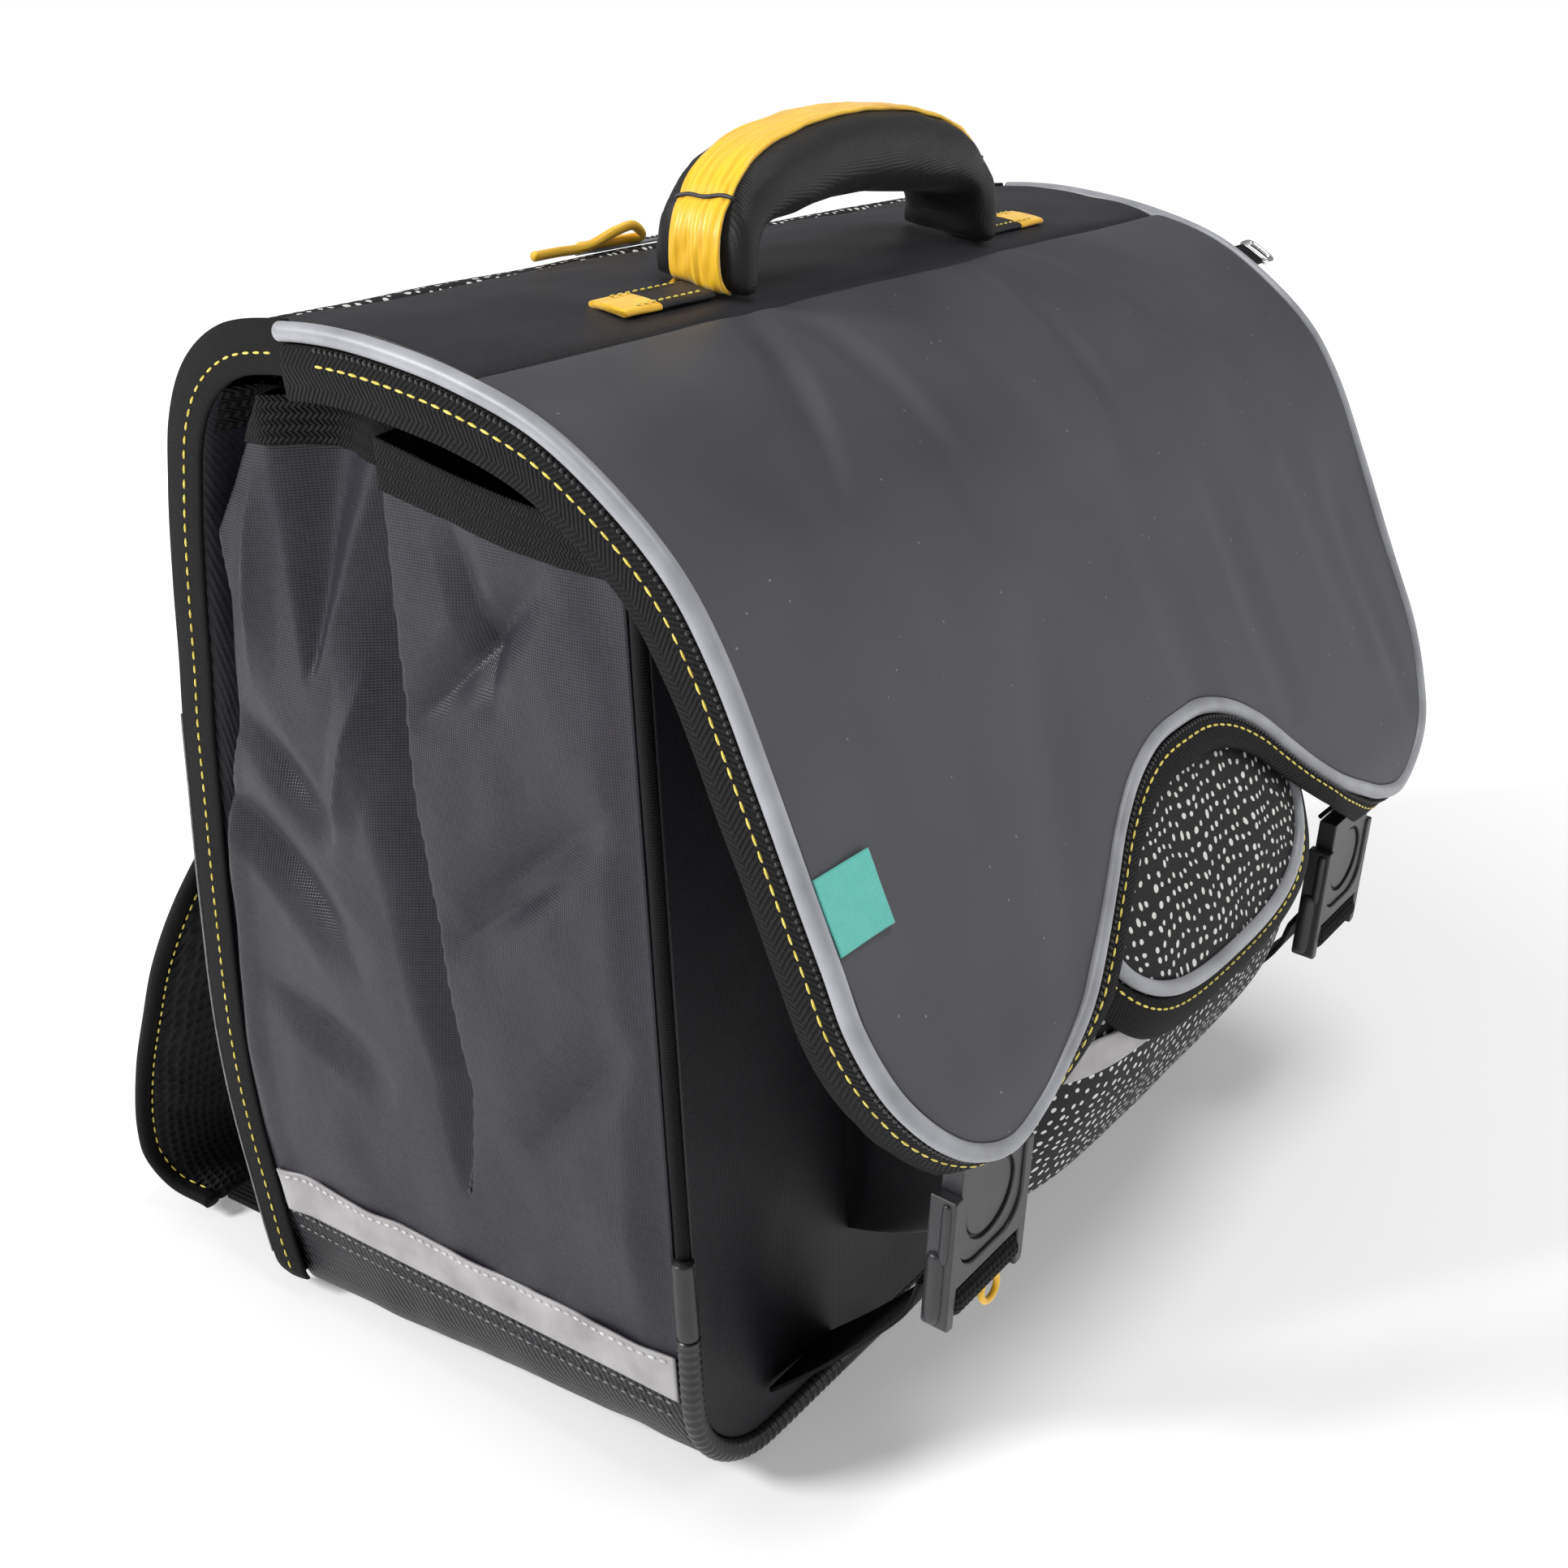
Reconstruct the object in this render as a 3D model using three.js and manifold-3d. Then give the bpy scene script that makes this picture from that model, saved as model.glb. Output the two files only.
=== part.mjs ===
// A school ransel: a stiff-backed satchel with a wide curved flap, side gussets,
// a front pocket, a padded handle and two shoulder straps.
// Millimetres. X runs across the width, Y from the front (-) to the back (+), Z up.
// The origin is the middle of the flat base.
import * as THREE from 'three';
import Module from 'manifold-3d';
import { mergeVertices } from 'three/addons/utils/BufferGeometryUtils.js';

const wasm = await Module();
wasm.setup();

// Main body
const bodyWidth = 380;
const bodyDepth = 200;
const bodyHeight = 360;
const baseCorner = 36;
const baseBackCorner = 14;
const clothWall = 2;
const baseWall = 2.4;
const seat = 0.3;

// Back, top and flap, one continuous curved shell
const shellSide = 191.4;
const backPad = 10;
const yokeWall = 4;
const bandWall = 3;
const flapWall = 3;
const backCrown = 6;
const backFoot = 6;
const yokeSeamHeight = 296;
const yokeTopReach = 36;
const bandSeamReach = 50;
const flapHinge = 20;
const flapReach = 88;
const lobeHeight = 145;
const archRise = 72;
const flapHalfWidth = 196;
const flapPipingRadius = 2.8;
const edgeGap = 0.7;
const tapeGap = 1.1;
const bindingWall = 1.6;
const bindingWidth = 16;
const bindingRim = 1.5;

// Side gussets
const gussetFoot = 40;
const gussetBackTop = 337;
const gussetFrontTop = 315;
const pleatFoot = 83;
const pleatDepth = 17;
const gussetBulge = 4;
const topTapeWidth = 14;
const reflectiveWidth = 16;
const tapeWall = 1;

// Front panel, its corner tubes and piping
const frontTop = 311;
const tubeRadius = 3.75;
const sleeveRadius = 3.7;
const tubeTop = 93.7;
const sleeveLength = 28;
const baseSleeveReach = 117;
const baseSleeveLength = 29;
const frontPipingRadius = 2.2;

// Front pocket
const pocketHalfWidth = 108;
const pocketFoot = 56;
const pocketTop = 203;
const pocketDepth = 81;
const lidHalfWidth = 71;
const lidFoot = 141;
const lidCorner = 36;
const lidWall = 1.8;
const lidHinge = 240;
const lidLift = 2.3;
const lidPipingRadius = 2.3;
const lidTapeWidth = 13;
const stripFoot = 124;
const stripWidth = 20;

// Buckles and their webbing
const buckleSpacing = 272;
const buckleReach = 70;
const buckleTop = 136;
const buckleWidth = 48;
const buckleDepth = 9;
const railWidth = 4.8;
const railHeight = 47.5;
const bridgeHeight = 5;
const tongueHeight = 39;
const tongueDepth = 7;
const tongueCorner = 11;
const dialRadius = 13.5;
const dialDepth = 2.2;
const dialHeight = 17.5;
const rollRadius = 6;
const webbingWidth = 36;
const webbingWall = 1.8;
const buckleLean = 5;
const strapFoot = 20;
const hangerReach = 26;
const hangerSetback = 2;

// Handle
const handleSpan = 140;
const handleRise = 35.5;
const handleWidth = 40;
const handleThickness = 25;
const handleFootThickness = 13;
const handleReach = 31;
const handleStripWidth = 22;
const handleStripWall = 1.4;
const handleTabLength = 46;
const handleTabWidth = 20;
const handleTabWall = 2;
const handleTabReach = 33;
const handleTabEnd = 20;

// Shoulder straps
const strapWidth = 60;
const strapThickness = 10;
const strapTopSpread = 88;
const strapBottomSpread = 161;
const strapBulge = 80;
const strapTop = 286;
const tailWidth = 26;
const tailWall = 2.4;

// Small parts
const labelWidth = 28;
const labelHeight = 27;
const labelWall = 0.8;
const labelFoot = 209;
const ringWidth = 15;
const ringHeight = 11;
const ringWire = 1.2;
const ringTabLength = 9;
const ringTabWall = 2.4;
const ringReach = 88;
const pullRadius = 1.7;
const pullLength = 62;
const pullRise = 9;
const rearZipLength = 84;
const rearZipWidth = 9;
const loopRadius = 4.6;
const loopWire = 1.1;

const halfWidth = bodyWidth / 2;
const frontFace = -bodyDepth / 2;
const flapFront = frontFace - flapReach;
const frontOfWall = frontFace - seat;

const bag = new THREE.Group();

const looks = {
  rubberCloth: [0x58585c, 0.62, 0],
  darkNylon: [0x45444a, 0.7, 0],
  gussetNylon: [0x5a5760, 0.5, 0],
  frontNylon: [0x2f2e33, 0.65, 0],
  carbonWeave: [0x3c3c40, 0.55, 0],
  reflective: [0xa9a9ac, 0.4, 0],
  blackWebbing: [0x1c1c1d, 0.8, 0],
  blackPlastic: [0x3a3a3e, 0.45, 0],
  tubeRubber: [0x2a2a2d, 0.5, 0],
  dottedCloth: [0x2b2b2e, 0.7, 0],
  padding: [0x1b1b1e, 0.85, 0],
  yellowNylon: [0xf2c21b, 0.5, 0],
  tealLabel: [0x6fd0c4, 0.6, 0],
  metal: [0xc9c9cc, 0.25, 1],
};

function addPiece(name, geometry, look) {
  const [colour, roughness, metalness] = looks[look];
  const material = new THREE.MeshStandardMaterial({ color: colour, roughness, metalness });
  const mesh = new THREE.Mesh(geometry, material);
  mesh.name = name;
  bag.add(mesh);
  return mesh;
}

// A closed body from shared vertices, turned so that its faces point out.
function closedBody(points, triangles) {
  let volume = 0;
  for (const [a, b, c] of triangles) {
    volume += points[a].dot(new THREE.Vector3().crossVectors(points[b], points[c]));
  }
  const order = volume < 0 ? ([a, b, c]) => [a, c, b] : (face) => face;
  const geometry = new THREE.BufferGeometry();
  geometry.setFromPoints(points);
  geometry.setIndex(triangles.flatMap(order));
  geometry.computeVertexNormals();
  return geometry;
}

// A sheet with a wall: two grids, one for each face, joined round their rim.
function sheet(columns, rows, outer, inner) {
  const points = [];
  for (const face of [outer, inner]) {
    for (let i = 0; i <= columns; i += 1) {
      for (let j = 0; j <= rows; j += 1) points.push(face(i / columns, j / rows));
    }
  }
  const side = (columns + 1) * (rows + 1);
  const at = (face, i, j) => face * side + i * (rows + 1) + j;
  const triangles = [];
  const quad = (a, b, c, d) => triangles.push([a, b, c], [a, c, d]);
  for (let i = 0; i < columns; i += 1) {
    for (let j = 0; j < rows; j += 1) {
      quad(at(0, i, j), at(0, i + 1, j), at(0, i + 1, j + 1), at(0, i, j + 1));
      quad(at(1, i, j), at(1, i, j + 1), at(1, i + 1, j + 1), at(1, i + 1, j));
    }
  }
  for (let i = 0; i < columns; i += 1) {
    quad(at(0, i, 0), at(1, i, 0), at(1, i + 1, 0), at(0, i + 1, 0));
    quad(at(0, i, rows), at(0, i + 1, rows), at(1, i + 1, rows), at(1, i, rows));
  }
  for (let j = 0; j < rows; j += 1) {
    quad(at(0, 0, j), at(0, 0, j + 1), at(1, 0, j + 1), at(1, 0, j));
    quad(at(0, columns, j), at(1, columns, j), at(1, columns, j + 1), at(0, columns, j + 1));
  }
  return closedBody(points, triangles);
}

// A body lofted through convex loops that all have the same number of points.
function loft(loops) {
  const count = loops[0].length;
  const points = loops.flat();
  const triangles = [];
  for (let k = 0; k + 1 < loops.length; k += 1) {
    for (let i = 0; i < count; i += 1) {
      const next = (i + 1) % count;
      const [a, b] = [k * count + i, k * count + next];
      const [c, d] = [a + count, b + count];
      triangles.push([a, b, d], [a, d, c]);
    }
  }
  const last = (loops.length - 1) * count;
  for (let i = 1; i + 1 < count; i += 1) {
    triangles.push([0, i + 1, i], [last, last + i, last + i + 1]);
  }
  return closedBody(points, triangles);
}

// A round cord, piping or tube along a list of points.
function roundAlong(points, radius, sides, steps) {
  const section = new THREE.Shape();
  for (let i = 0; i < sides; i += 1) {
    const turn = (2 * Math.PI * i) / sides;
    const [x, y] = [radius * Math.cos(turn), radius * Math.sin(turn)];
    if (i === 0) section.moveTo(x, y);
    else section.lineTo(x, y);
  }
  section.closePath();
  const path = new THREE.CatmullRomCurve3(points, false, 'centripetal');
  return new THREE.ExtrudeGeometry(section, { steps, extrudePath: path, bevelEnabled: false });
}

const smooth = (t) => {
  const c = Math.min(1, Math.max(0, t));
  return c * c * (3 - 2 * c);
};

// Value of a column of a table at a place between its rows
function fromTable(rows, key, column, at) {
  let k = 0;
  while (k + 2 < rows.length && rows[k + 1][key] <= at) k += 1;
  const [low, high] = [rows[k], rows[k + 1]];
  const t = Math.min(1, Math.max(0, (at - low[key]) / (high[key] - low[key])));
  return low[column] + t * (high[column] - low[column]);
}

// Outline of the back, seen from the side.
// back: share of half the body depth; up: share of the body height.
const backOutline = [
  { back: 0.98, up: 0.0167 },
  { back: 1.03, up: 0.083 },
  { back: 1.08, up: 0.167 },
  { back: 1.11, up: 0.264 },
  { back: 1.1, up: 0.361 },
  { back: 1.06, up: 0.469 },
  { back: 1.02, up: 0.572 },
  { back: 0.96, up: 0.686 },
  { back: 0.91, up: 0.778 },
  { back: 0.85, up: 0.847 },
  { back: 0.79, up: 0.9 },
  { back: 0.67, up: 0.946 },
  { back: 0.49, up: 0.979 },
];

// Outline of the top and the flap, seen from the side.
// out: share of the way from the flap's hinge to the front of its lobes;
// down: share of the drop from the top to the foot of the lobes.
const flapOutline = [
  { out: 0, down: 0 },
  { out: 0.096, down: 0 },
  { out: 0.192, down: 0.01 },
  { out: 0.327, down: 0.036 },
  { out: 0.471, down: 0.084 },
  { out: 0.587, down: 0.158 },
  { out: 0.673, down: 0.237 },
  { out: 0.731, down: 0.326 },
  { out: 0.793, down: 0.465 },
  { out: 0.851, down: 0.605 },
  { out: 0.904, down: 0.73 },
  { out: 0.952, down: 0.847 },
  { out: 0.986, down: 0.93 },
  { out: 1.004, down: 1.02 },
];

const outlinePoints = [
  ...backOutline.map((row) => new THREE.Vector3(0, (row.back * bodyDepth) / 2, row.up * bodyHeight)),
  ...flapOutline.map((row) => new THREE.Vector3(
    0,
    flapHinge + row.out * (flapFront - flapHinge),
    bodyHeight + row.down * (lobeHeight - bodyHeight),
  )),
];
outlinePoints[0].z = backFoot;
const shellCurve = new THREE.CatmullRomCurve3(outlinePoints, false, 'centripetal');
shellCurve.arcLengthDivisions = 600;
const shellLength = shellCurve.getLength();

// How far along the outline something first holds
function lengthWhere(test) {
  const steps = 1200;
  for (let k = 0; k <= steps; k += 1) {
    if (test(shellCurve.getPointAt(k / steps))) return (k / steps) * shellLength;
  }
  return shellLength;
}

const yokeFootAt = lengthWhere((p) => p.z > yokeSeamHeight);
const yokeTopAt = lengthWhere((p) => p.z > yokeSeamHeight && p.y < yokeTopReach);
const hingeAt = lengthWhere((p) => p.z > yokeSeamHeight && p.y < flapHinge);
const bandSeamAt = lengthWhere((p) => p.y < -bandSeamReach);
const flapAtHeight = (z) => lengthWhere((p) => p.y < frontFace && p.z < z);

const crownFade = 0.15;

// A point over the shell: x across, s along the outline, out of its surface by a distance.
// The back and the yoke are crowned between their side edges.
function onShell(x, s, out = 0) {
  const share = Math.min(1, Math.max(0, s / shellLength));
  const p = shellCurve.getPointAt(share);
  const t = shellCurve.getTangentAt(share);
  const across = Math.min(1, Math.abs(x) / shellSide);
  const over = (s - yokeFootAt) / (yokeTopAt - yokeFootAt);
  const rise = smooth(s / yokeFootAt) * (1 - smooth(over - crownFade));
  const lift = out + backCrown * rise * (1 - across * across);
  return new THREE.Vector3(x, p.y + t.z * lift, p.z - t.y * lift);
}

// Soft creases of the flap that spread from the handle's feet.
// x0, x1: shares of the flap's half width; s0, s1: shares of the way down the flap.
const flapCreases = [
  { x0: -0.42, s0: 0.02, x1: -0.62, s1: 0.55, depth: 0.9 },
  { x0: -0.1, s0: 0.02, x1: -0.02, s1: 0.6, depth: 1 },
  { x0: 0.42, s0: 0.02, x1: 0.3, s1: 0.7, depth: 1 },
  { x0: 0.6, s0: 0.05, x1: 0.75, s1: 0.75, depth: 0.8 },
];
const creaseHalfWidth = 16;

function creaseAt(x, s) {
  const down = (s - bandSeamAt) / (shellLength - bandSeamAt);
  let depth = 0;
  for (const row of flapCreases) {
    const t = (down - row.s0) / (row.s1 - row.s0);
    if (t < 0 || t > 1) continue;
    const centre = (row.x0 + t * (row.x1 - row.x0)) * flapHalfWidth;
    const away = Math.abs(x - centre) / creaseHalfWidth;
    if (away < 1) depth += row.depth * (1 - smooth(away)) * Math.sin(Math.PI * t);
  }
  return depth;
}

// A sheet of the shell between two places along the outline
function shellSheet(side, from, to, wall, columns, rows) {
  const spot = (u, v) => [side * (2 * u - 1), from + v * (to - from)];
  return sheet(
    columns,
    rows,
    (u, v) => onShell(...spot(u, v)),
    (u, v) => onShell(...spot(u, v), -wall),
  );
}

const flapSide = flapHalfWidth - flapPipingRadius - edgeGap;
addPiece(
  'back_panel',
  shellSheet(shellSide, 0, yokeFootAt - seat / 2, backPad, 6, 12),
  'padding',
);
addPiece(
  'rear_yoke',
  shellSheet(shellSide, yokeFootAt + seat / 2, yokeTopAt - seat / 2, yokeWall, 6, 7),
  'dottedCloth',
);
addPiece(
  'top_band',
  shellSheet(shellSide, yokeTopAt + seat / 2, bandSeamAt - seat / 2, bandWall, 6, 6),
  'darkNylon',
);

// Lower edge of one half of the flap, from its side to the middle.
// across: share of the flap's half width; rise: share of the arch's height.
const flapEdge = [
  { across: 1, rise: 0.72 },
  { across: 0.972, rise: 0.47 },
  { across: 0.918, rise: 0.25 },
  { across: 0.85, rise: 0.09 },
  { across: 0.76, rise: 0 },
  { across: 0.67, rise: 0.05 },
  { across: 0.585, rise: 0.15 },
  { across: 0.5, rise: 0.27 },
  { across: 0.418, rise: 0.42 },
  { across: 0.342, rise: 0.59 },
  { across: 0.265, rise: 0.77 },
  { across: 0.18, rise: 0.91 },
  { across: 0.09, rise: 0.985 },
  { across: 0, rise: 1 },
];

// The edge as flat points: x across, y along the outline
const halfEdge = flapEdge.map((row) => new THREE.Vector2(
  row.across * flapHalfWidth,
  flapAtHeight(lobeHeight + row.rise * archRise),
));
const lowerEdge = [
  ...halfEdge.map((p) => new THREE.Vector2(-p.x, p.y)),
  ...halfEdge.slice(0, -1).reverse(),
];
const sideRun = 15;
const sideEdge = [];
for (let k = 0; k < sideRun; k += 1) {
  sideEdge.push(hingeAt + (k / sideRun) * (halfEdge[0].y - hingeAt));
}
const wholeEdge = [
  ...sideEdge.map((s) => new THREE.Vector2(-flapHalfWidth, s)),
  ...lowerEdge,
  ...sideEdge.slice().reverse().map((s) => new THREE.Vector2(flapHalfWidth, s)),
];

// Direction that leaves the flap, square to its edge, at each flat point
function edgeOut(points, k) {
  const a = points[Math.max(0, k - 1)];
  const b = points[Math.min(points.length - 1, k + 1)];
  const along = b.clone().sub(a).normalize();
  return new THREE.Vector2(-along.y, along.x);
}

const insetEdge = lowerEdge.map((p, k) => {
  const first = k === 0 || k === lowerEdge.length - 1;
  const away = first ? new THREE.Vector2(Math.sign(p.x), 0) : edgeOut(lowerEdge, k);
  return p.clone().addScaledVector(away, -(flapPipingRadius + edgeGap));
});

function flapSpot(u, v) {
  const k = Math.round(u * (insetEdge.length - 1));
  const foot = insetEdge[k];
  const x = Math.sign(foot.x) * Math.min(Math.abs(foot.x), flapSide);
  const top = bandSeamAt + seat / 2;
  return [x, top + v * (foot.y - top)];
}

addPiece(
  'flap',
  sheet(
    insetEdge.length - 1,
    10,
    (u, v) => onShell(...flapSpot(u, v), -creaseAt(...flapSpot(u, v))),
    (u, v) => onShell(...flapSpot(u, v), -flapWall - creaseAt(...flapSpot(u, v))),
  ),
  'rubberCloth',
);

// A round section as pairs of [out of the edge, out of the surface]
const pipingSides = 8;
const pipingSection = (radius) => Array.from({ length: pipingSides }, (_, i) => {
  const turn = (2 * Math.PI * i) / pipingSides;
  return [radius * Math.cos(turn), radius * Math.sin(turn)];
});

addPiece(
  'flap_piping',
  loft(wholeEdge.map((p, k) => {
    const away = edgeOut(wholeEdge, k);
    return pipingSection(flapPipingRadius).map(([reach, lift]) => onShell(
      p.x + away.x * reach,
      p.y + away.y * reach,
      lift - flapWall / 2,
    ));
  })),
  'reflective',
);

// How the binding turns from the flap's edge. at: share of the way from the side's hinge
// to the middle of the arch; turn: degrees out of square with the flap; width: share.
const bindingTurn = [
  { at: 0, turn: 0, width: 1 },
  { at: 0.58, turn: 0, width: 1 },
  { at: 0.68, turn: 40, width: 0.85 },
  { at: 0.75, turn: 75, width: 0.5 },
  { at: 0.79, turn: 90, width: 0.3 },
  { at: 0.88, turn: 90, width: 0.45 },
  { at: 1, turn: 90, width: 0.7 },
];

addPiece(
  'flap_binding',
  loft(wholeEdge.map((p, k) => {
    const at = 1 - Math.abs((2 * k) / (wholeEdge.length - 1) - 1);
    const turn = THREE.MathUtils.degToRad(fromTable(bindingTurn, 'at', 'turn', at));
    const width = fromTable(bindingTurn, 'at', 'width', at) * bindingWidth;
    const away = edgeOut(wholeEdge, k);
    const corner = (reach, lift) => {
      const out = reach * Math.sin(turn) + lift * Math.cos(turn);
      const depth = -reach * Math.cos(turn) + lift * Math.sin(turn);
      return onShell(p.x + away.x * out, p.y + away.y * out, depth - flapWall / 2);
    };
    const near = flapPipingRadius + edgeGap;
    return [
      corner(near, -bindingWall / 2),
      corner(near, bindingWall / 2),
      corner(near + width, bindingWall / 2),
      corner(near + width, -bindingWall / 2),
    ];
  })),
  'blackWebbing',
);

// Depth of the back panel's inner face at a height
function backInside(z) {
  let s = 0;
  while (s < hingeAt && onShell(shellSide, s, -backPad - seat).z < z) s += 2;
  return onShell(shellSide, s, -backPad - seat).y;
}

// Back binding: a webbing edge that lies on the side of the back panel
function backBinding(side) {
  const steps = 16;
  const loops = [];
  for (let k = 0; k <= steps; k += 1) {
    const s = (k / steps) * (hingeAt - seat);
    const near = shellSide + seat;
    loops.push([
      onShell(near, s, bindingRim - bindingWidth),
      onShell(near + bindingWall, s, bindingRim - bindingWidth),
      onShell(near + bindingWall, s, bindingRim),
      onShell(near, s, bindingRim),
    ].map((p) => new THREE.Vector3(side * p.x, p.y, p.z)));
  }
  return loft(loops);
}

// Seam line of the front, where gusset and base meet the front panel
const seamCut = tubeRadius + seat;
const stripFront = frontFace + seamCut;

// Folds of a gusset. t: share of the way from the front to the back; z0, z1: shares of
// its height; depth: share of the pleat's depth, in (+) or out (-); wide: share of depth.
const gussetColumns = 16;
const gussetRows = 9;
const gussetFolds = [
  { t0: 0.2, z0: 0.08, t1: 0.42, z1: 0.42, depth: 0.22, wide: 0.07 },
  { t0: 0.16, z0: 0.4, t1: 0.3, z1: 0.75, depth: 0.2, wide: 0.07 },
  { t0: 0.62, z0: 0.2, t1: 0.86, z1: 0.5, depth: 0.26, wide: 0.08 },
  { t0: 0.6, z0: 0.45, t1: 0.72, z1: 0.95, depth: 0.24, wide: 0.07 },
  { t0: 0.86, z0: 0.5, t1: 0.92, z1: 0.95, depth: 0.3, wide: 0.06 },
];

const gussetTop = (t) => gussetFrontTop + smooth(t / 0.85) * (gussetBackTop - gussetFrontTop);

function gussetX(t, z) {
  const up = (z - gussetFoot) / (gussetTop(t) - gussetFoot);
  const fade = smooth(t / 0.1) * smooth((0.94 - t) / 0.12);
  const rise = Math.max(0, (z - pleatFoot) / (gussetTop(t) - pleatFoot));
  const crease = 0.44 + 0.08 * rise * rise;
  const pleat = pleatDepth * rise ** 0.8 * Math.exp(-Math.abs(t - crease) / 0.075);
  let folds = 0;
  for (const row of gussetFolds) {
    const k = (up - row.z0) / (row.z1 - row.z0);
    if (k < 0 || k > 1) continue;
    const away = Math.abs(t - row.t0 - k * (row.t1 - row.t0)) / row.wide;
    if (away < 1) folds += pleatDepth * row.depth * (1 - smooth(away)) * Math.sin(Math.PI * k);
  }
  const bulge = gussetBulge * Math.sin(Math.PI * Math.min(1, up * 1.1)) ** 0.7;
  const flare = (shellSide - halfWidth) * smooth((t - 0.88) / 0.06);
  return halfWidth + flare + fade * (bulge * (1 - 0.4 * up) - pleat - folds);
}

const gussetY = (t, z) => stripFront + t * (backInside(z) - stripFront);

function gusset(side) {
  const face = (inset) => (t, v) => {
    const z = gussetFoot + v * (gussetTop(t) - gussetFoot);
    return new THREE.Vector3(side * (gussetX(t, z) - inset), gussetY(t, z), z);
  };
  return sheet(gussetColumns, gussetRows, face(0), face(clothWall));
}

// A point out of a gusset's faceted surface
function overGusset(side, t, z, out) {
  const height = gussetTop(t) - gussetFoot;
  const row = Math.min(gussetRows - 1, Math.floor(((z - gussetFoot) / height) * gussetRows));
  const low = gussetFoot + (row / gussetRows) * height;
  const high = low + height / gussetRows;
  const k = Math.min(1, (z - low) / (high - low));
  const between = (value) => value(t, low) + k * (value(t, high) - value(t, low));
  return new THREE.Vector3(side * (between(gussetX) + out), between(gussetY), z);
}

// A tape on the outside of a gusset, as far as one of its columns
function gussetTape(side, wall, columns, rows, foot, top) {
  const face = (out) => (u, v) => {
    const t = (u * columns) / gussetColumns;
    return overGusset(side, t, foot(t) + v * (top(t) - foot(t)), out);
  };
  return sheet(columns, rows, face(tapeGap + wall), face(tapeGap));
}

const rimRise = 2;

// The base strip runs under the bag and up both sides; its corner is tighter at the back
function baseStrip() {
  const steps = 6;
  const across = [];
  for (let k = steps + 1; k >= 0; k -= 1) across.push([-1, k]);
  for (let k = 0; k <= steps + 1; k += 1) across.push([1, k]);
  const face = (inset) => (u, v) => {
    const [side, k] = across[Math.round(u * (across.length - 1))];
    const corner = baseCorner + v * (baseBackCorner - baseCorner);
    const turn = (Math.min(k, steps) / steps) * (Math.PI / 2);
    const x = halfWidth - corner + (corner - inset) * Math.sin(turn);
    const z = k > steps ? gussetFoot - seat : corner - (corner - inset) * Math.cos(turn);
    const back = backInside(Math.max(z, backFoot)) - edgeGap;
    return new THREE.Vector3(side * x, stripFront + v * (back - stripFront), z);
  };
  return sheet(across.length - 1, 2, face(0), face(baseWall));
}
addPiece('base_panel', baseStrip(), 'carbonWeave');

// Front panel with rounded lower corners
function frontPanel() {
  const side = halfWidth - seamCut;
  const foot = tubeRadius + 2 * seat + seamCut;
  const radius = baseCorner - seamCut;
  const outline = new THREE.Shape();
  outline.moveTo(-side, frontTop);
  outline.lineTo(-side, foot + radius);
  outline.absarc(-side + radius, foot + radius, radius, Math.PI, 1.5 * Math.PI, false);
  outline.lineTo(side - radius, foot);
  outline.absarc(side - radius, foot + radius, radius, 1.5 * Math.PI, 2 * Math.PI, false);
  outline.lineTo(side, frontTop);
  outline.closePath();
  const panel = new THREE.ExtrudeGeometry(outline, {
    depth: clothWall,
    bevelEnabled: false,
    curveSegments: 8,
  });
  panel.rotateX(Math.PI / 2);
  panel.translate(0, frontFace + clothWall, 0);
  return panel;
}
addPiece('front_panel', frontPanel(), 'frontNylon');

// Corner tubes on the front seam: a ribbed bend between two smooth sleeves
function cornerPoint(side, k) {
  const turn = (k * Math.PI) / 2;
  const radius = baseCorner;
  return new THREE.Vector3(
    side * (halfWidth - radius + radius * Math.cos(turn)),
    frontFace,
    tubeRadius + 2 * seat + radius - radius * Math.sin(turn),
  );
}

function cornerPieces(side, word) {
  const sleeveFoot = tubeTop - sleeveLength;
  const upright = (z) => new THREE.Vector3(side * halfWidth, frontFace, z);
  const low = cornerPoint(side, 1).z;
  const inward = (x) => new THREE.Vector3(side * x, frontFace, low);
  const bend = [upright(sleeveFoot - seat)];
  for (let k = 0; k <= 8; k += 1) bend.push(cornerPoint(side, k / 8));
  bend.push(inward(baseSleeveReach + seat));
  addPiece(`corner_tube_${word}`, roundAlong(bend, tubeRadius, 8, 18), 'tubeRubber');
  addPiece(
    `side_sleeve_${word}`,
    roundAlong([upright(sleeveFoot), upright(tubeTop)], sleeveRadius, 10, 1),
    'tubeRubber',
  );
  addPiece(
    `base_sleeve_${word}`,
    roundAlong([inward(baseSleeveReach), inward(baseSleeveReach - baseSleeveLength)], sleeveRadius, 10, 1),
    'tubeRubber',
  );
  const inset = tubeRadius - frontPipingRadius - seat;
  const cord = (z) => new THREE.Vector3(side * (halfWidth - inset), frontFace + inset, z);
  addPiece(
    `front_piping_${word}`,
    roundAlong([cord(tubeTop + seat), cord(frontTop)], frontPipingRadius, 8, 2),
    'blackWebbing',
  );
}

for (const [side, word] of [[-1, 'left'], [1, 'right']]) {
  addPiece(`gusset_${word}`, gusset(side), 'gussetNylon');
  addPiece(
    `gusset_top_tape_${word}`,
    gussetTape(side, tapeWall, 12, 2, (t) => gussetTop(t) - topTapeWidth, (t) => gussetTop(t) + rimRise),
    'blackWebbing',
  );
  addPiece(
    `side_reflective_${word}`,
    gussetTape(side, tapeWall, 15, 1, () => gussetFoot + seat, () => gussetFoot + reflectiveWidth),
    'reflective',
  );
  addPiece(`back_binding_${word}`, backBinding(side), 'blackWebbing');
  cornerPieces(side, word);
}

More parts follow.
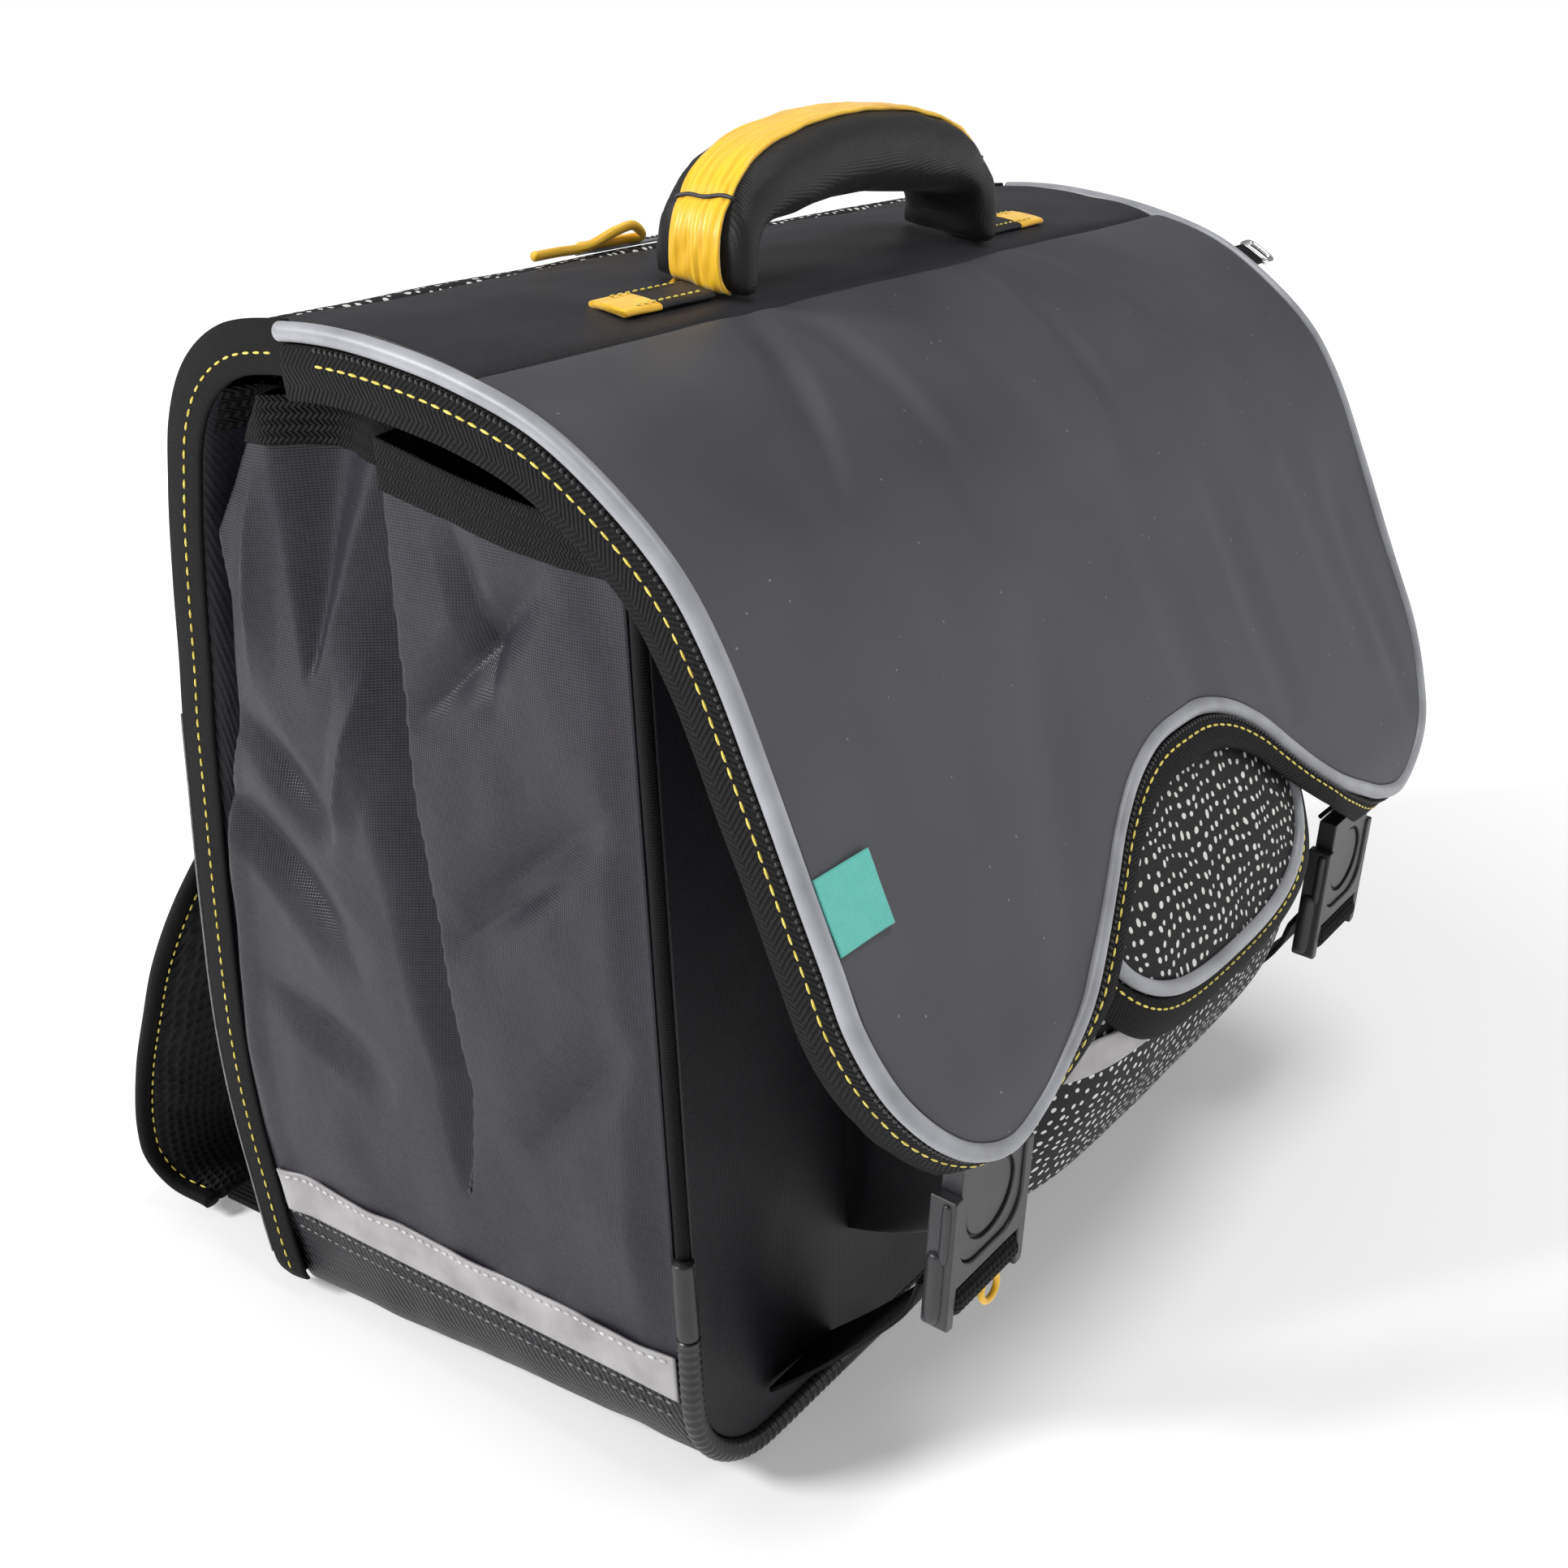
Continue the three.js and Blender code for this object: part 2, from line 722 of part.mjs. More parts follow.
// Front of the pocket at half width 0. up: share of the pocket's height; out: share of depth.
const pocketOutline = [
  { up: 0, out: 0 },
  { up: 0.02, out: 0.32 },
  { up: 0.06, out: 0.56 },
  { up: 0.12, out: 0.7 },
  { up: 0.2, out: 0.8 },
  { up: 0.32, out: 0.905 },
  { up: 0.45, out: 0.97 },
  { up: 0.57, out: 1 },
  { up: 0.68, out: 0.95 },
  { up: 0.83, out: 0.84 },
  { up: 1, out: 0.705 },
];
const pocketCurve = new THREE.CatmullRomCurve3(
  pocketOutline.map((row) => new THREE.Vector3(row.up, row.out, 0)),
  false,
  'centripetal',
);
const pocketBow = 4.5;

// A point of the pocket's front: a is the share of its half width, v the way up its outline
function pocketPoint(a, v, inset) {
  const p = pocketCurve.getPoint(v);
  const across = (1 - Math.min(1, Math.abs(a)) ** pocketBow) ** (1 / pocketBow);
  const foot = pocketFoot + inset;
  return new THREE.Vector3(
    a * (pocketHalfWidth - inset),
    frontOfWall - p.y * (pocketDepth - inset) * across,
    foot + p.x * (pocketTop - foot),
  );
}

const pocketShares = [-1, -0.985, -0.93, -0.82, -0.64, -0.4, 0, 0.4, 0.64, 0.82, 0.93, 0.985, 1];
addPiece(
  'pocket_body',
  sheet(
    pocketShares.length - 1,
    12,
    (u, v) => pocketPoint(pocketShares[Math.round(u * (pocketShares.length - 1))], v, 0),
    (u, v) => pocketPoint(pocketShares[Math.round(u * (pocketShares.length - 1))], v, clothWall),
  ),
  'dottedCloth',
);

// How far along the pocket's outline a height lies
function pocketAt(z) {
  let v = 0;
  while (v < 1 && pocketPoint(0, v, 0).z < z) v += 0.004;
  return v;
}

// A point out of the pocket's front at a place across and a height
function overPocket(x, z, out) {
  const v = pocketAt(Math.min(z, pocketTop - 1));
  const low = pocketPoint(x / pocketHalfWidth, Math.max(0, v - 0.01), 0);
  const high = pocketPoint(x / pocketHalfWidth, Math.min(1, v + 0.01), 0);
  const middle = pocketPoint(x / pocketHalfWidth, v, 0);
  const along = high.clone().sub(low).normalize();
  const away = new THREE.Vector3(0, -along.z, along.y);
  if (z > pocketTop - 1) middle.addScaledVector(along, z - pocketTop + 1);
  return middle.addScaledVector(away, out);
}

const stripColumns = pocketShares.length - 3;
const stripSpot = (u, v) => [
  pocketShares[1 + Math.round(u * stripColumns)] * pocketHalfWidth,
  stripFoot + v * stripWidth,
];
addPiece(
  'pocket_strip',
  sheet(
    stripColumns,
    2,
    (u, v) => overPocket(...stripSpot(u, v), edgeGap + labelWall),
    (u, v) => overPocket(...stripSpot(u, v), edgeGap),
  ),
  'reflective',
);

// Edge of the pocket's lid: up one side, round the foot and up the other side
const lidEdge = [];
const lidSteps = 10;
const lidPower = 2.6;
for (let k = -lidSteps; k <= lidSteps; k += 1) {
  const a = Math.sin((k / lidSteps) * (Math.PI / 2));
  const drop = (1 - Math.abs(a) ** lidPower) ** (1 / lidPower);
  lidEdge.push(new THREE.Vector2(a * lidHalfWidth, lidFoot + lidCorner * (1 - drop)));
}
const lidCurve = [
  new THREE.Vector2(-lidHalfWidth, lidFoot + lidCorner + 22),
  new THREE.Vector2(-lidHalfWidth, lidFoot + lidCorner + 11),
  ...lidEdge,
  new THREE.Vector2(lidHalfWidth, lidFoot + lidCorner + 11),
  new THREE.Vector2(lidHalfWidth, lidFoot + lidCorner + 22),
];

// The lid: it lies over the pocket's front and turns back to its hinge on the front panel.
const lidBow = { forward: 6, up: 9 };

function lidPoint(x, t, foot, out) {
  const mouth = pocketTop - 1;
  const hang = 0.55;
  if (t >= hang) {
    const k = (t - hang) / (1 - hang);
    return overPocket(x, mouth + k * (foot - mouth), lidLift + out);
  }
  const start = overPocket(x, mouth, lidLift + out);
  const end = new THREE.Vector3(x, frontOfWall, lidHinge + out);
  const k = t / hang;
  const bend = start.clone().add(end).multiplyScalar(0.5);
  bend.y -= lidBow.forward;
  bend.z += lidBow.up + out;
  end.multiplyScalar((1 - k) ** 2);
  end.addScaledVector(bend, 2 * k * (1 - k));
  return end.addScaledVector(start, k * k);
}
const lidColumn = (u) => lidEdge[Math.round(u * (lidEdge.length - 1))];
addPiece(
  'pocket_lid',
  sheet(
    lidEdge.length - 1,
    8,
    (u, v) => lidPoint(lidColumn(u).x, v, lidColumn(u).y, lidWall),
    (u, v) => lidPoint(lidColumn(u).x, v, lidColumn(u).y, 0),
  ),
  'dottedCloth',
);

const lidAway = (k) => edgeOut(lidCurve, k);
addPiece(
  'lid_piping',
  loft(lidCurve.map((p, k) => pipingSection(lidPipingRadius).map(([reach, lift]) => {
    const away = lidPipingRadius + edgeGap + reach;
    const q = p.clone().addScaledVector(lidAway(k), -away);
    return overPocket(q.x, q.y, lidLift + lidPipingRadius + lift);
  }))),
  'reflective',
);
addPiece(
  'lid_tape',
  loft(lidCurve.map((p, k) => {
    const near = 2 * (lidPipingRadius + edgeGap);
    const corner = (reach, out) => {
      const q = p.clone().addScaledVector(lidAway(k), -reach);
      return overPocket(q.x, q.y, out);
    };
    return [
      corner(near, lidLift),
      corner(near, lidLift + lidWall),
      corner(near + lidTapeWidth, lidLift + lidWall),
      corner(near + lidTapeWidth, lidLift),
    ];
  })),
  'blackWebbing',
);

// Cut one closed body out of another
function cut(body, tool) {
  const solid = (geometry) => {
    const bare = new THREE.BufferGeometry();
    bare.setAttribute('position', geometry.getAttribute('position'));
    if (geometry.index) bare.setIndex(geometry.index);
    const merged = mergeVertices(bare, 1e-4);
    return new wasm.Manifold(new wasm.Mesh({
      numProp: 3,
      vertProperties: new Float32Array(merged.getAttribute('position').array),
      triVerts: new Uint32Array(merged.index.array),
    }));
  };
  const mesh = solid(body).subtract(solid(tool)).getMesh();
  const geometry = new THREE.BufferGeometry();
  geometry.setAttribute('position', new THREE.BufferAttribute(mesh.vertProperties, 3));
  geometry.setIndex(new THREE.BufferAttribute(mesh.triVerts, 1));
  return geometry;
}

// A plate seen from the front, with round lower corners, as deep as asked
function plate(width, foot, top, corner, depth) {
  const side = width / 2;
  const outline = new THREE.Shape();
  outline.moveTo(-side, top);
  outline.lineTo(-side, foot + corner);
  outline.absarc(-side + corner, foot + corner, corner, Math.PI, 1.5 * Math.PI, false);
  outline.lineTo(side - corner, foot);
  outline.absarc(side - corner, foot + corner, corner, 1.5 * Math.PI, 2 * Math.PI, false);
  outline.lineTo(side, top);
  outline.closePath();
  const geometry = new THREE.ExtrudeGeometry(outline, {
    depth,
    bevelEnabled: false,
    curveSegments: 6,
  });
  geometry.rotateX(Math.PI / 2);
  geometry.translate(0, depth / 2, 0);
  return geometry;
}

// Buckle pieces are made upright about the buckle's middle, then leaned and set in place.
const tongueFoot = buckleTop - tongueHeight;
const buckleMiddle = tongueFoot + dialHeight;
const slotWidth = buckleWidth - 2 * railWidth;
const railTop = buckleTop - tongueCorner;
const lean = THREE.MathUtils.degToRad(buckleLean);

function setBuckle(geometry, side) {
  geometry.rotateX(lean);
  geometry.translate((side * buckleSpacing) / 2, frontFace - buckleReach, buckleMiddle);
  return geometry;
}

function tongue() {
  const low = tongueFoot - buckleMiddle;
  const body = plate(slotWidth - 2 * seat, low, low + tongueHeight, tongueCorner, tongueDepth);
  const dial = new THREE.CylinderGeometry(dialRadius, dialRadius, 2 * dialDepth, 20);
  dial.translate(0, -tongueDepth / 2, 0);
  return cut(body, dial);
}

function buckleFrame() {
  const top = railTop - buckleMiddle;
  const foot = top - railHeight;
  const slotFoot = tongueFoot - buckleMiddle - seat;
  const body = plate(buckleWidth, foot, top, railWidth / 2, buckleDepth);
  const slot = plate(slotWidth, slotFoot, top + buckleDepth, tongueCorner, 2 * buckleDepth);
  const gap = plate(slotWidth, foot - buckleDepth, slotFoot - bridgeHeight, seat, 2 * buckleDepth);
  return cut(cut(body, slot), gap);
}

// A flat ribbon in the YZ plane, width along X, through points given as [y, z]
function ribbon(middle, width, wall, route) {
  const points = route.map(([y, z]) => new THREE.Vector2(y, z));
  return loft(points.map((p, k) => {
    const a = points[Math.max(0, k - 1)];
    const b = points[Math.min(points.length - 1, k + 1)];
    const along = b.clone().sub(a).normalize();
    const away = new THREE.Vector2(-along.y, along.x).multiplyScalar(wall / 2);
    const corner = (x, sign) => new THREE.Vector3(
      middle + (x * width) / 2,
      p.x + sign * away.x,
      p.y + sign * away.y,
    );
    return [corner(-1, -1), corner(1, -1), corner(1, 1), corner(-1, 1)];
  }));
}

const flapInside = (z) => onShell(0, flapAtHeight(z), -flapWall - seat).y;
const bridgeFoot = tongueFoot - seat - bridgeHeight;
const rollMiddle = bridgeFoot - seat - rollRadius;
const rollDepth = frontFace - buckleReach + (buckleMiddle - rollMiddle) * Math.tan(lean);

function buckle(side, word) {
  addPiece(`buckle_tongue_${word}`, setBuckle(tongue(), side), 'blackPlastic');
  addPiece(`buckle_frame_${word}`, setBuckle(buckleFrame(), side), 'blackPlastic');
  const middle = (side * buckleSpacing) / 2;
  const roll = new THREE.CylinderGeometry(rollRadius, rollRadius, webbingWidth, 14);
  roll.rotateZ(Math.PI / 2);
  roll.translate(middle, rollDepth, rollMiddle);
  addPiece(`webbing_roll_${word}`, roll, 'blackWebbing');
  const start = rollDepth + rollRadius + seat + webbingWall;
  const end = frontOfWall - webbingWall / 2;
  const drop = rollMiddle - strapFoot;
  addPiece(`buckle_strap_${word}`, ribbon(middle, webbingWidth, webbingWall, [
    [start, rollMiddle + rollRadius / 2],
    [start + 0.08 * (end - start), rollMiddle - 0.14 * drop],
    [start + 0.32 * (end - start), rollMiddle - 0.4 * drop],
    [start + 0.66 * (end - start), rollMiddle - 0.72 * drop],
    [end, rollMiddle - drop],
  ]), 'blackWebbing');
  const hangerTop = buckleTop + hangerReach;
  const hangerFoot = frontFace - buckleReach + hangerSetback;
  const hangerMiddle = buckleTop + hangerReach / 2;
  addPiece(`flap_hanger_${word}`, ribbon(middle, webbingWidth, webbingWall, [
    [hangerFoot, buckleTop + 2 * edgeGap],
    [flapInside(hangerMiddle) + 4 * webbingWall, hangerMiddle],
    [flapInside(hangerTop) + webbingWall / 2 + 3 * edgeGap, hangerTop],
  ]), 'blackWebbing');
}

// Handle. out: share of half the span; up: share of the rise over the top band.
const handleOutline = [
  { out: 1, up: 0 },
  { out: 1, up: 0.3 },
  { out: 0.97, up: 0.52 },
  { out: 0.8, up: 0.77 },
  { out: 0.51, up: 0.9 },
  { out: 0.25, up: 0.98 },
  { out: 0, up: 1 },
];
const topAt = (y) => onShell(0, lengthWhere((p) => p.z > yokeSeamHeight && p.y < y)).z;
const handleFoot = topAt(-handleReach);
const footGap = 4 * seat;
const handleCurve = new THREE.CatmullRomCurve3(
  [
    ...handleOutline.map((row) => new THREE.Vector3(-(row.out * handleSpan) / 2, 0, row.up * handleRise)),
    ...handleOutline.slice(0, -1).reverse().map(
      (row) => new THREE.Vector3((row.out * handleSpan) / 2, 0, row.up * handleRise),
    ),
  ],
  false,
  'centripetal',
);

// A loop round the handle: pairs of [across in Y, out of the arch] about its middle
function handleLoop(u, pairs) {
  const p = handleCurve.getPointAt(u);
  const t = handleCurve.getTangentAt(u);
  return pairs.map(([y, out]) => {
    const depth = y - handleReach;
    const point = new THREE.Vector3(p.x - t.z * out, depth, handleFoot + p.z + t.x * out);
    if (u === 0 || u === 1) point.z = topAt(depth) + footGap;
    return point;
  });
}

function handleThicknessAt(u) {
  const middle = smooth((0.5 - Math.abs(u - 0.5)) / 0.3);
  return handleFootThickness + middle * (handleThickness - handleFootThickness);
}

const handleSteps = 20;
const handleLoops = (pairsAt) => {
  const loops = [];
  for (let k = 0; k <= handleSteps; k += 1) {
    const u = k / handleSteps;
    loops.push(handleLoop(u, pairsAt(u)));
  }
  return loft(loops);
};

addPiece('handle_grip', handleLoops((u) => {
  const thick = handleThicknessAt(u) / 2;
  const wide = handleWidth / 2;
  const soft = 0.62;
  return [
    [-wide, -thick * soft], [-wide, thick * soft], [-wide * 0.82, thick], [wide * 0.82, thick],
    [wide, thick * soft], [wide, -thick * soft], [wide * 0.8, -thick], [-wide * 0.8, -thick],
  ];
}), 'padding');

addPiece('handle_strip', handleLoops((u) => {
  const near = handleThicknessAt(u) / 2 + edgeGap;
  const wide = handleStripWidth / 2;
  return [
    [-wide, near], [-wide, near + handleStripWall],
    [wide, near + handleStripWall], [wide, near],
  ];
}), 'yellowNylon');

// Flat tabs of the handle on the top band, black with a yellow end
function topTab(side, from, to) {
  const middle = lengthWhere((p) => p.z > yokeSeamHeight && p.y < -handleTabReach);
  const spot = (u, v) => [side * (from + u * (to - from)), middle + (v - 0.5) * handleTabWidth];
  return sheet(
    1,
    3,
    (u, v) => onShell(...spot(u, v), seat + handleTabWall),
    (u, v) => onShell(...spot(u, v), seat),
  );
}

// Shoulder strap. out: share of the strap's bulge behind the back; up: share of its top.
const strapOutline = [
  { out: 0, up: 1 },
  { out: 0.02, up: 0.87 },
  { out: 0.13, up: 0.72 },
  { out: 0.235, up: 0.63 },
  { out: 0.39, up: 0.525 },
  { out: 0.6, up: 0.42 },
  { out: 0.76, up: 0.33 },
  { out: 0.91, up: 0.235 },
  { out: 1, up: 0.14 },
  { out: 0.985, up: 0.08 },
  { out: 0.9, up: 0.04 },
  { out: 0.7, up: 0.024 },
];

// Face of the back panel at a height, with its crown
function backFace(x, z) {
  let s = 0;
  while (s < yokeTopAt && onShell(x, s).z < z) s += 2;
  return onShell(x, s).y;
}

// Distance of the strap's middle from the bag's middle at a share of its top height
const spreadFrom = 0.45;
const spreadAt = (up) => {
  const inward = smooth((up - spreadFrom) / (1 - spreadFrom));
  return strapBottomSpread - inward * (strapBottomSpread - strapTopSpread);
};

const strapPoints = strapOutline.map((row) => {
  const spread = spreadAt(row.up);
  const z = row.up * strapTop;
  const held = backFace(spread - strapWidth / 2, z) + strapThickness / 2 + edgeGap;
  return new THREE.Vector3(spread, Math.max(held, bodyDepth / 2 + row.out * strapBulge), z);
});
const strapCurve = new THREE.CatmullRomCurve3(strapPoints, false, 'centripetal');
const strapSteps = 20;

function shoulderStrap(side) {
  const loops = [];
  for (let k = 0; k <= strapSteps; k += 1) {
    const p = strapCurve.getPointAt(k / strapSteps);
    const t = strapCurve.getTangentAt(k / strapSteps);
    const away = new THREE.Vector2(-t.z, t.y).normalize();
    const end = smooth((1 - k / strapSteps) / 0.12);
    const wide = (strapWidth / 2) * (0.72 + 0.28 * end);
    const thick = strapThickness / 2;
    loops.push([
      [-wide, -thick * 0.5], [-wide, thick * 0.5], [-wide + thick, thick], [wide - thick, thick],
      [wide, thick * 0.5], [wide, -thick * 0.5], [wide - thick, -thick], [-wide + thick, -thick],
    ].map(([x, out]) => new THREE.Vector3(side * (p.x + x), p.y + away.x * out, p.z + away.y * out)));
  }
  return loft(loops);
}

// Webbing tail from the strap's end to the foot of the back panel
function strapTail(side) {
  const end = strapCurve.getPointAt(1);
  const foot = backFace(strapBottomSpread, backFoot + tailWidth / 2) + edgeGap;
  return ribbon(side * strapBottomSpread, tailWidth, tailWall, [
    [end.y - seat - edgeGap, end.z],
    [(end.y + foot) / 2, end.z + tailWall / 2],
    [foot + tailWall, backFoot + tailWidth / 4],
  ]);
}

for (const [side, word] of [[-1, 'left'], [1, 'right']]) {
  buckle(side, word);
  const tabStart = handleSpan / 2 + handleFootThickness / 2 + handleStripWall + 2 * edgeGap;
  const tabEnd = tabStart + handleTabLength;
  addPiece(`handle_tab_${word}`, topTab(side, tabStart, tabEnd - handleTabEnd - seat), 'blackWebbing');
  addPiece(`handle_tab_end_${word}`, topTab(side, tabEnd - handleTabEnd, tabEnd), 'yellowNylon');
  addPiece(`shoulder_strap_${word}`, shoulderStrap(side), 'padding');
  addPiece(`strap_tail_${word}`, strapTail(side), 'blackWebbing');
}

// Label sewn into the flap's left edge
const labelFrom = flapAtHeight(labelFoot + labelHeight);
const labelSpot = (u, v) => [-flapSide + seat + u * labelWidth, labelFrom + v * labelHeight];
addPiece(
  'flap_label',
  sheet(
    1,
    3,
    (u, v) => onShell(...labelSpot(u, v), edgeGap + labelWall),
    (u, v) => onShell(...labelSpot(u, v), edgeGap),
  ),
  'tealLabel',
);

// Wire ring on a webbing tab at the flap's right edge
const ringAt = lengthWhere((p) => p.z > yokeSeamHeight && p.y < -ringReach);
const ringTabSide = flapHalfWidth + flapPipingRadius + seat;
const ringTabWidth = ringWidth - 2 * ringWire - 2 * seat;
addPiece(
  'ring_tab',
  sheet(
    1,
    1,
    (u, v) => onShell(ringTabSide + u * ringTabLength, ringAt + (v - 0.5) * ringTabWidth, 0),
    (u, v) => onShell(ringTabSide + u * ringTabLength, ringAt + (v - 0.5) * ringTabWidth, -ringTabWall),
  ),
  'blackWebbing',
);
const ringMiddle = ringTabSide + ringTabLength + seat + ringHeight / 2;
const ringPath = [[-1, -1], [1, -1], [1, 1], [-1, 1]];
const ringLoop = (reach, out) => ringPath.map(([a, b]) => onShell(
  ringMiddle + a * (ringHeight / 2 - reach),
  ringAt + b * (ringWidth / 2 - reach),
  out,
));

// A flat wire loop: an outer and an inner outline on two faces
function wireLoop(outerTop, innerTop, innerFoot, outerFoot) {
  const rings = [outerTop, innerTop, innerFoot, outerFoot];
  const count = outerTop.length;
  const triangles = [];
  for (let k = 0; k < rings.length; k += 1) {
    const next = (k + 1) % rings.length;
    for (let i = 0; i < count; i += 1) {
      const j = (i + 1) % count;
      const [a, b, c, d] = [k * count + i, k * count + j, next * count + j, next * count + i];
      triangles.push([a, b, c], [a, c, d]);
    }
  }
  return closedBody(rings.flat(), triangles);
}
addPiece(
  'side_ring',
  wireLoop(
    ringLoop(0, 0),
    ringLoop(2 * ringWire, 0),
    ringLoop(2 * ringWire, -2 * ringWire),
    ringLoop(0, -2 * ringWire),
  ),
  'metal',
);

// Zip at the top of the yoke, its pull, and the small loop under the left buckle
const zipFrom = lengthWhere((p) => p.z > yokeSeamHeight && p.y < yokeTopReach + 1.6 * rearZipWidth);
const zipSpot = (u, v) => [(u - 0.5) * rearZipLength, zipFrom + v * rearZipWidth];
addPiece(
  'rear_zip',
  sheet(
    4,
    2,
    (u, v) => onShell(...zipSpot(u, v), edgeGap + tapeWall),
    (u, v) => onShell(...zipSpot(u, v), edgeGap),
  ),
  'reflective',
);

// Pull. x: share of its length from the zip's middle; s, out: shares of its rise.
const pullRoute = [
  { x: -1, s: 0, out: 0 },
  { x: -0.7, s: 0.1, out: 0 },
  { x: -0.35, s: 0.1, out: 0.02 },
  { x: -0.05, s: 0, out: 0.5 },
  { x: 0.08, s: -0.3, out: 0.7 },
  { x: 0.12, s: -0.75, out: 0.6 },
  { x: 0.02, s: -0.95, out: 0.25 },
  { x: -0.2, s: -0.95, out: 0 },
];
const pullLift = edgeGap + tapeWall + seat + pullRadius;
addPiece(
  'zip_pull',
  roundAlong(
    pullRoute.map((row) => onShell(
      row.x * pullLength,
      zipFrom + rearZipWidth / 2 - row.s * pullRise,
      pullLift + row.out * pullRise,
    )),
    pullRadius,
    6,
    14,
  ),
  'yellowNylon',
);

const buckleLoop = new THREE.TorusGeometry(loopRadius, loopWire, 5, 12);
buckleLoop.rotateX(Math.PI / 2);
buckleLoop.translate(
  -buckleSpacing / 2 + webbingWidth / 4,
  rollDepth,
  rollMiddle - rollRadius - seat - loopRadius - loopWire,
);
addPiece('pocket_pull_loop', buckleLoop, 'yellowNylon');

export default bag;
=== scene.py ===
import bisect
import math

import bmesh
import bpy
from mathutils import Matrix, Vector, noise
from mathutils.bvhtree import BVHTree


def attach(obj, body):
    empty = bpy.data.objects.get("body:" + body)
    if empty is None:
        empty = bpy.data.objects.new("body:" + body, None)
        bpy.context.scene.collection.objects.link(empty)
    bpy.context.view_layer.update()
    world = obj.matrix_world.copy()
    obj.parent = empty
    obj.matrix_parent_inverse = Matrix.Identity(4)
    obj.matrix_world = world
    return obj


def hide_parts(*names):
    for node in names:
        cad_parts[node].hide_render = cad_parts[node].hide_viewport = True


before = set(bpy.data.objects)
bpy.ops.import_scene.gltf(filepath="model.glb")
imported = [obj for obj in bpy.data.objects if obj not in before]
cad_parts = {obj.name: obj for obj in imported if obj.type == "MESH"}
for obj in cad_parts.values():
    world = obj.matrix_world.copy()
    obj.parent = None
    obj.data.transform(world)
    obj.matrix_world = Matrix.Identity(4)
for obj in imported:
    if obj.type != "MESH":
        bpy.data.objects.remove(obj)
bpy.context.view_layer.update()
scene = bpy.context.scene
scene.view_settings.view_transform = "Standard"
mm = 0.001  # sizes below are in millimetres
print("school ransel: frame loaded")

# Camera at the photo's angle
cameraSetup = {
    "place": (-0.52956, -0.40707, 0.43841),
    "right": (0.59793, -0.80067, -0.03744),
    "up": (0.33208, 0.20494, 0.92072),
    "lens": 42.92,
    "sensor": 36.0,
}
cameraData = bpy.data.cameras.new("camera")
cameraData.lens = cameraSetup["lens"]
cameraData.sensor_width = cameraSetup["sensor"]
camera = bpy.data.objects.new("camera", cameraData)
scene.collection.objects.link(camera)
right, up = Vector(cameraSetup["right"]), Vector(cameraSetup["up"])
turned = Matrix((right, up, right.cross(up))).transposed().to_4x4()
camera.matrix_world = Matrix.Translation(cameraSetup["place"]) @ turned
scene.camera = camera


# Nodes and colours
def hexColour(text):
    shares = [int(text[i:i + 2], 16) / 255 for i in (1, 3, 5)]
    linear = [c / 12.92 if c <= 0.04045 else ((c + 0.055) / 1.055) ** 2.4 for c in shares]
    return (*linear, 1.0)


def addNode(owner, kind, inputs=(), **settings):  # a node among the inputs links its first output
    node = owner.node_tree.nodes.new(kind)
    for key, value in settings.items():
        setattr(node, key, value)
    for key, value in dict(inputs).items():
        if isinstance(value, bpy.types.Node):
            value = value.outputs[0]
        if isinstance(value, bpy.types.NodeSocket):
            owner.node_tree.links.new(value, node.inputs[key])
        else:
            node.inputs[key].default_value = value
    return node


# A material with its shader and the place on the object
def startMaterial(name, colour, roughness, **sockets):
    m = bpy.data.materials.new(name)
    m.use_nodes = True
    shader = m.node_tree.nodes["Principled BSDF"]
    shader.inputs["Base Color"].default_value = hexColour(colour)
    shader.inputs["Roughness"].default_value = roughness
    for key, value in sockets.items():
        shader.inputs[key.replace("_", " ")].default_value = value
    return m, shader, addNode(m, "ShaderNodeTexCoord").outputs["Object"]


# The flat cloth's place, and metres across and along it; a piece that was remeshed gives its own place
def clothAxes(m, where=None):
    if where is None:
        flat = addNode(m, "ShaderNodeUVMap", uv_map="Cloth")
        parts = addNode(m, "ShaderNodeSeparateXYZ", {"Vector": flat})
        return flat, parts.outputs["X"], parts.outputs["Y"]
    parts = addNode(m, "ShaderNodeSeparateXYZ", {"Vector": where})
    along = addNode(m, "ShaderNodeMath", {0: parts.outputs["Y"], 1: parts.outputs["Z"]}, operation="ADD")
    return addNode(m, "ShaderNodeCombineXYZ", {"X": parts, "Y": along}), parts.outputs["X"], along


def ribHeight(m, distance, pitch):  # 0 to 1, one rib every pitch millimetres
    turn = addNode(m, "ShaderNodeMath", {0: distance, 1: 2 * math.pi / (pitch * mm)}, operation="MULTIPLY")
    wave = addNode(m, "ShaderNodeMath", {0: turn}, operation="SINE")
    return addNode(m, "ShaderNodeMath", {0: wave, 1: 0.5, 2: 0.5}, operation="MULTIPLY_ADD")


def plainWeave(m, across, along, pitch):
    threads = {0: ribHeight(m, across, pitch), 1: ribHeight(m, along, pitch)}
    return addNode(m, "ShaderNodeMath", threads, operation="ADD")


# Clouds of a size in millimetres: as they are, and stretched from low and high to 0 and 1
def blotches(m, where, size, detail=2.0, low=0.3, high=0.7):
    cloud = addNode(m, "ShaderNodeTexNoise", {"Vector": where, "Scale": 1 / (size * mm), "Detail": detail})
    return cloud, addNode(m, "ShaderNodeMapRange", {"Value": cloud, "From Min": low, "From Max": high})


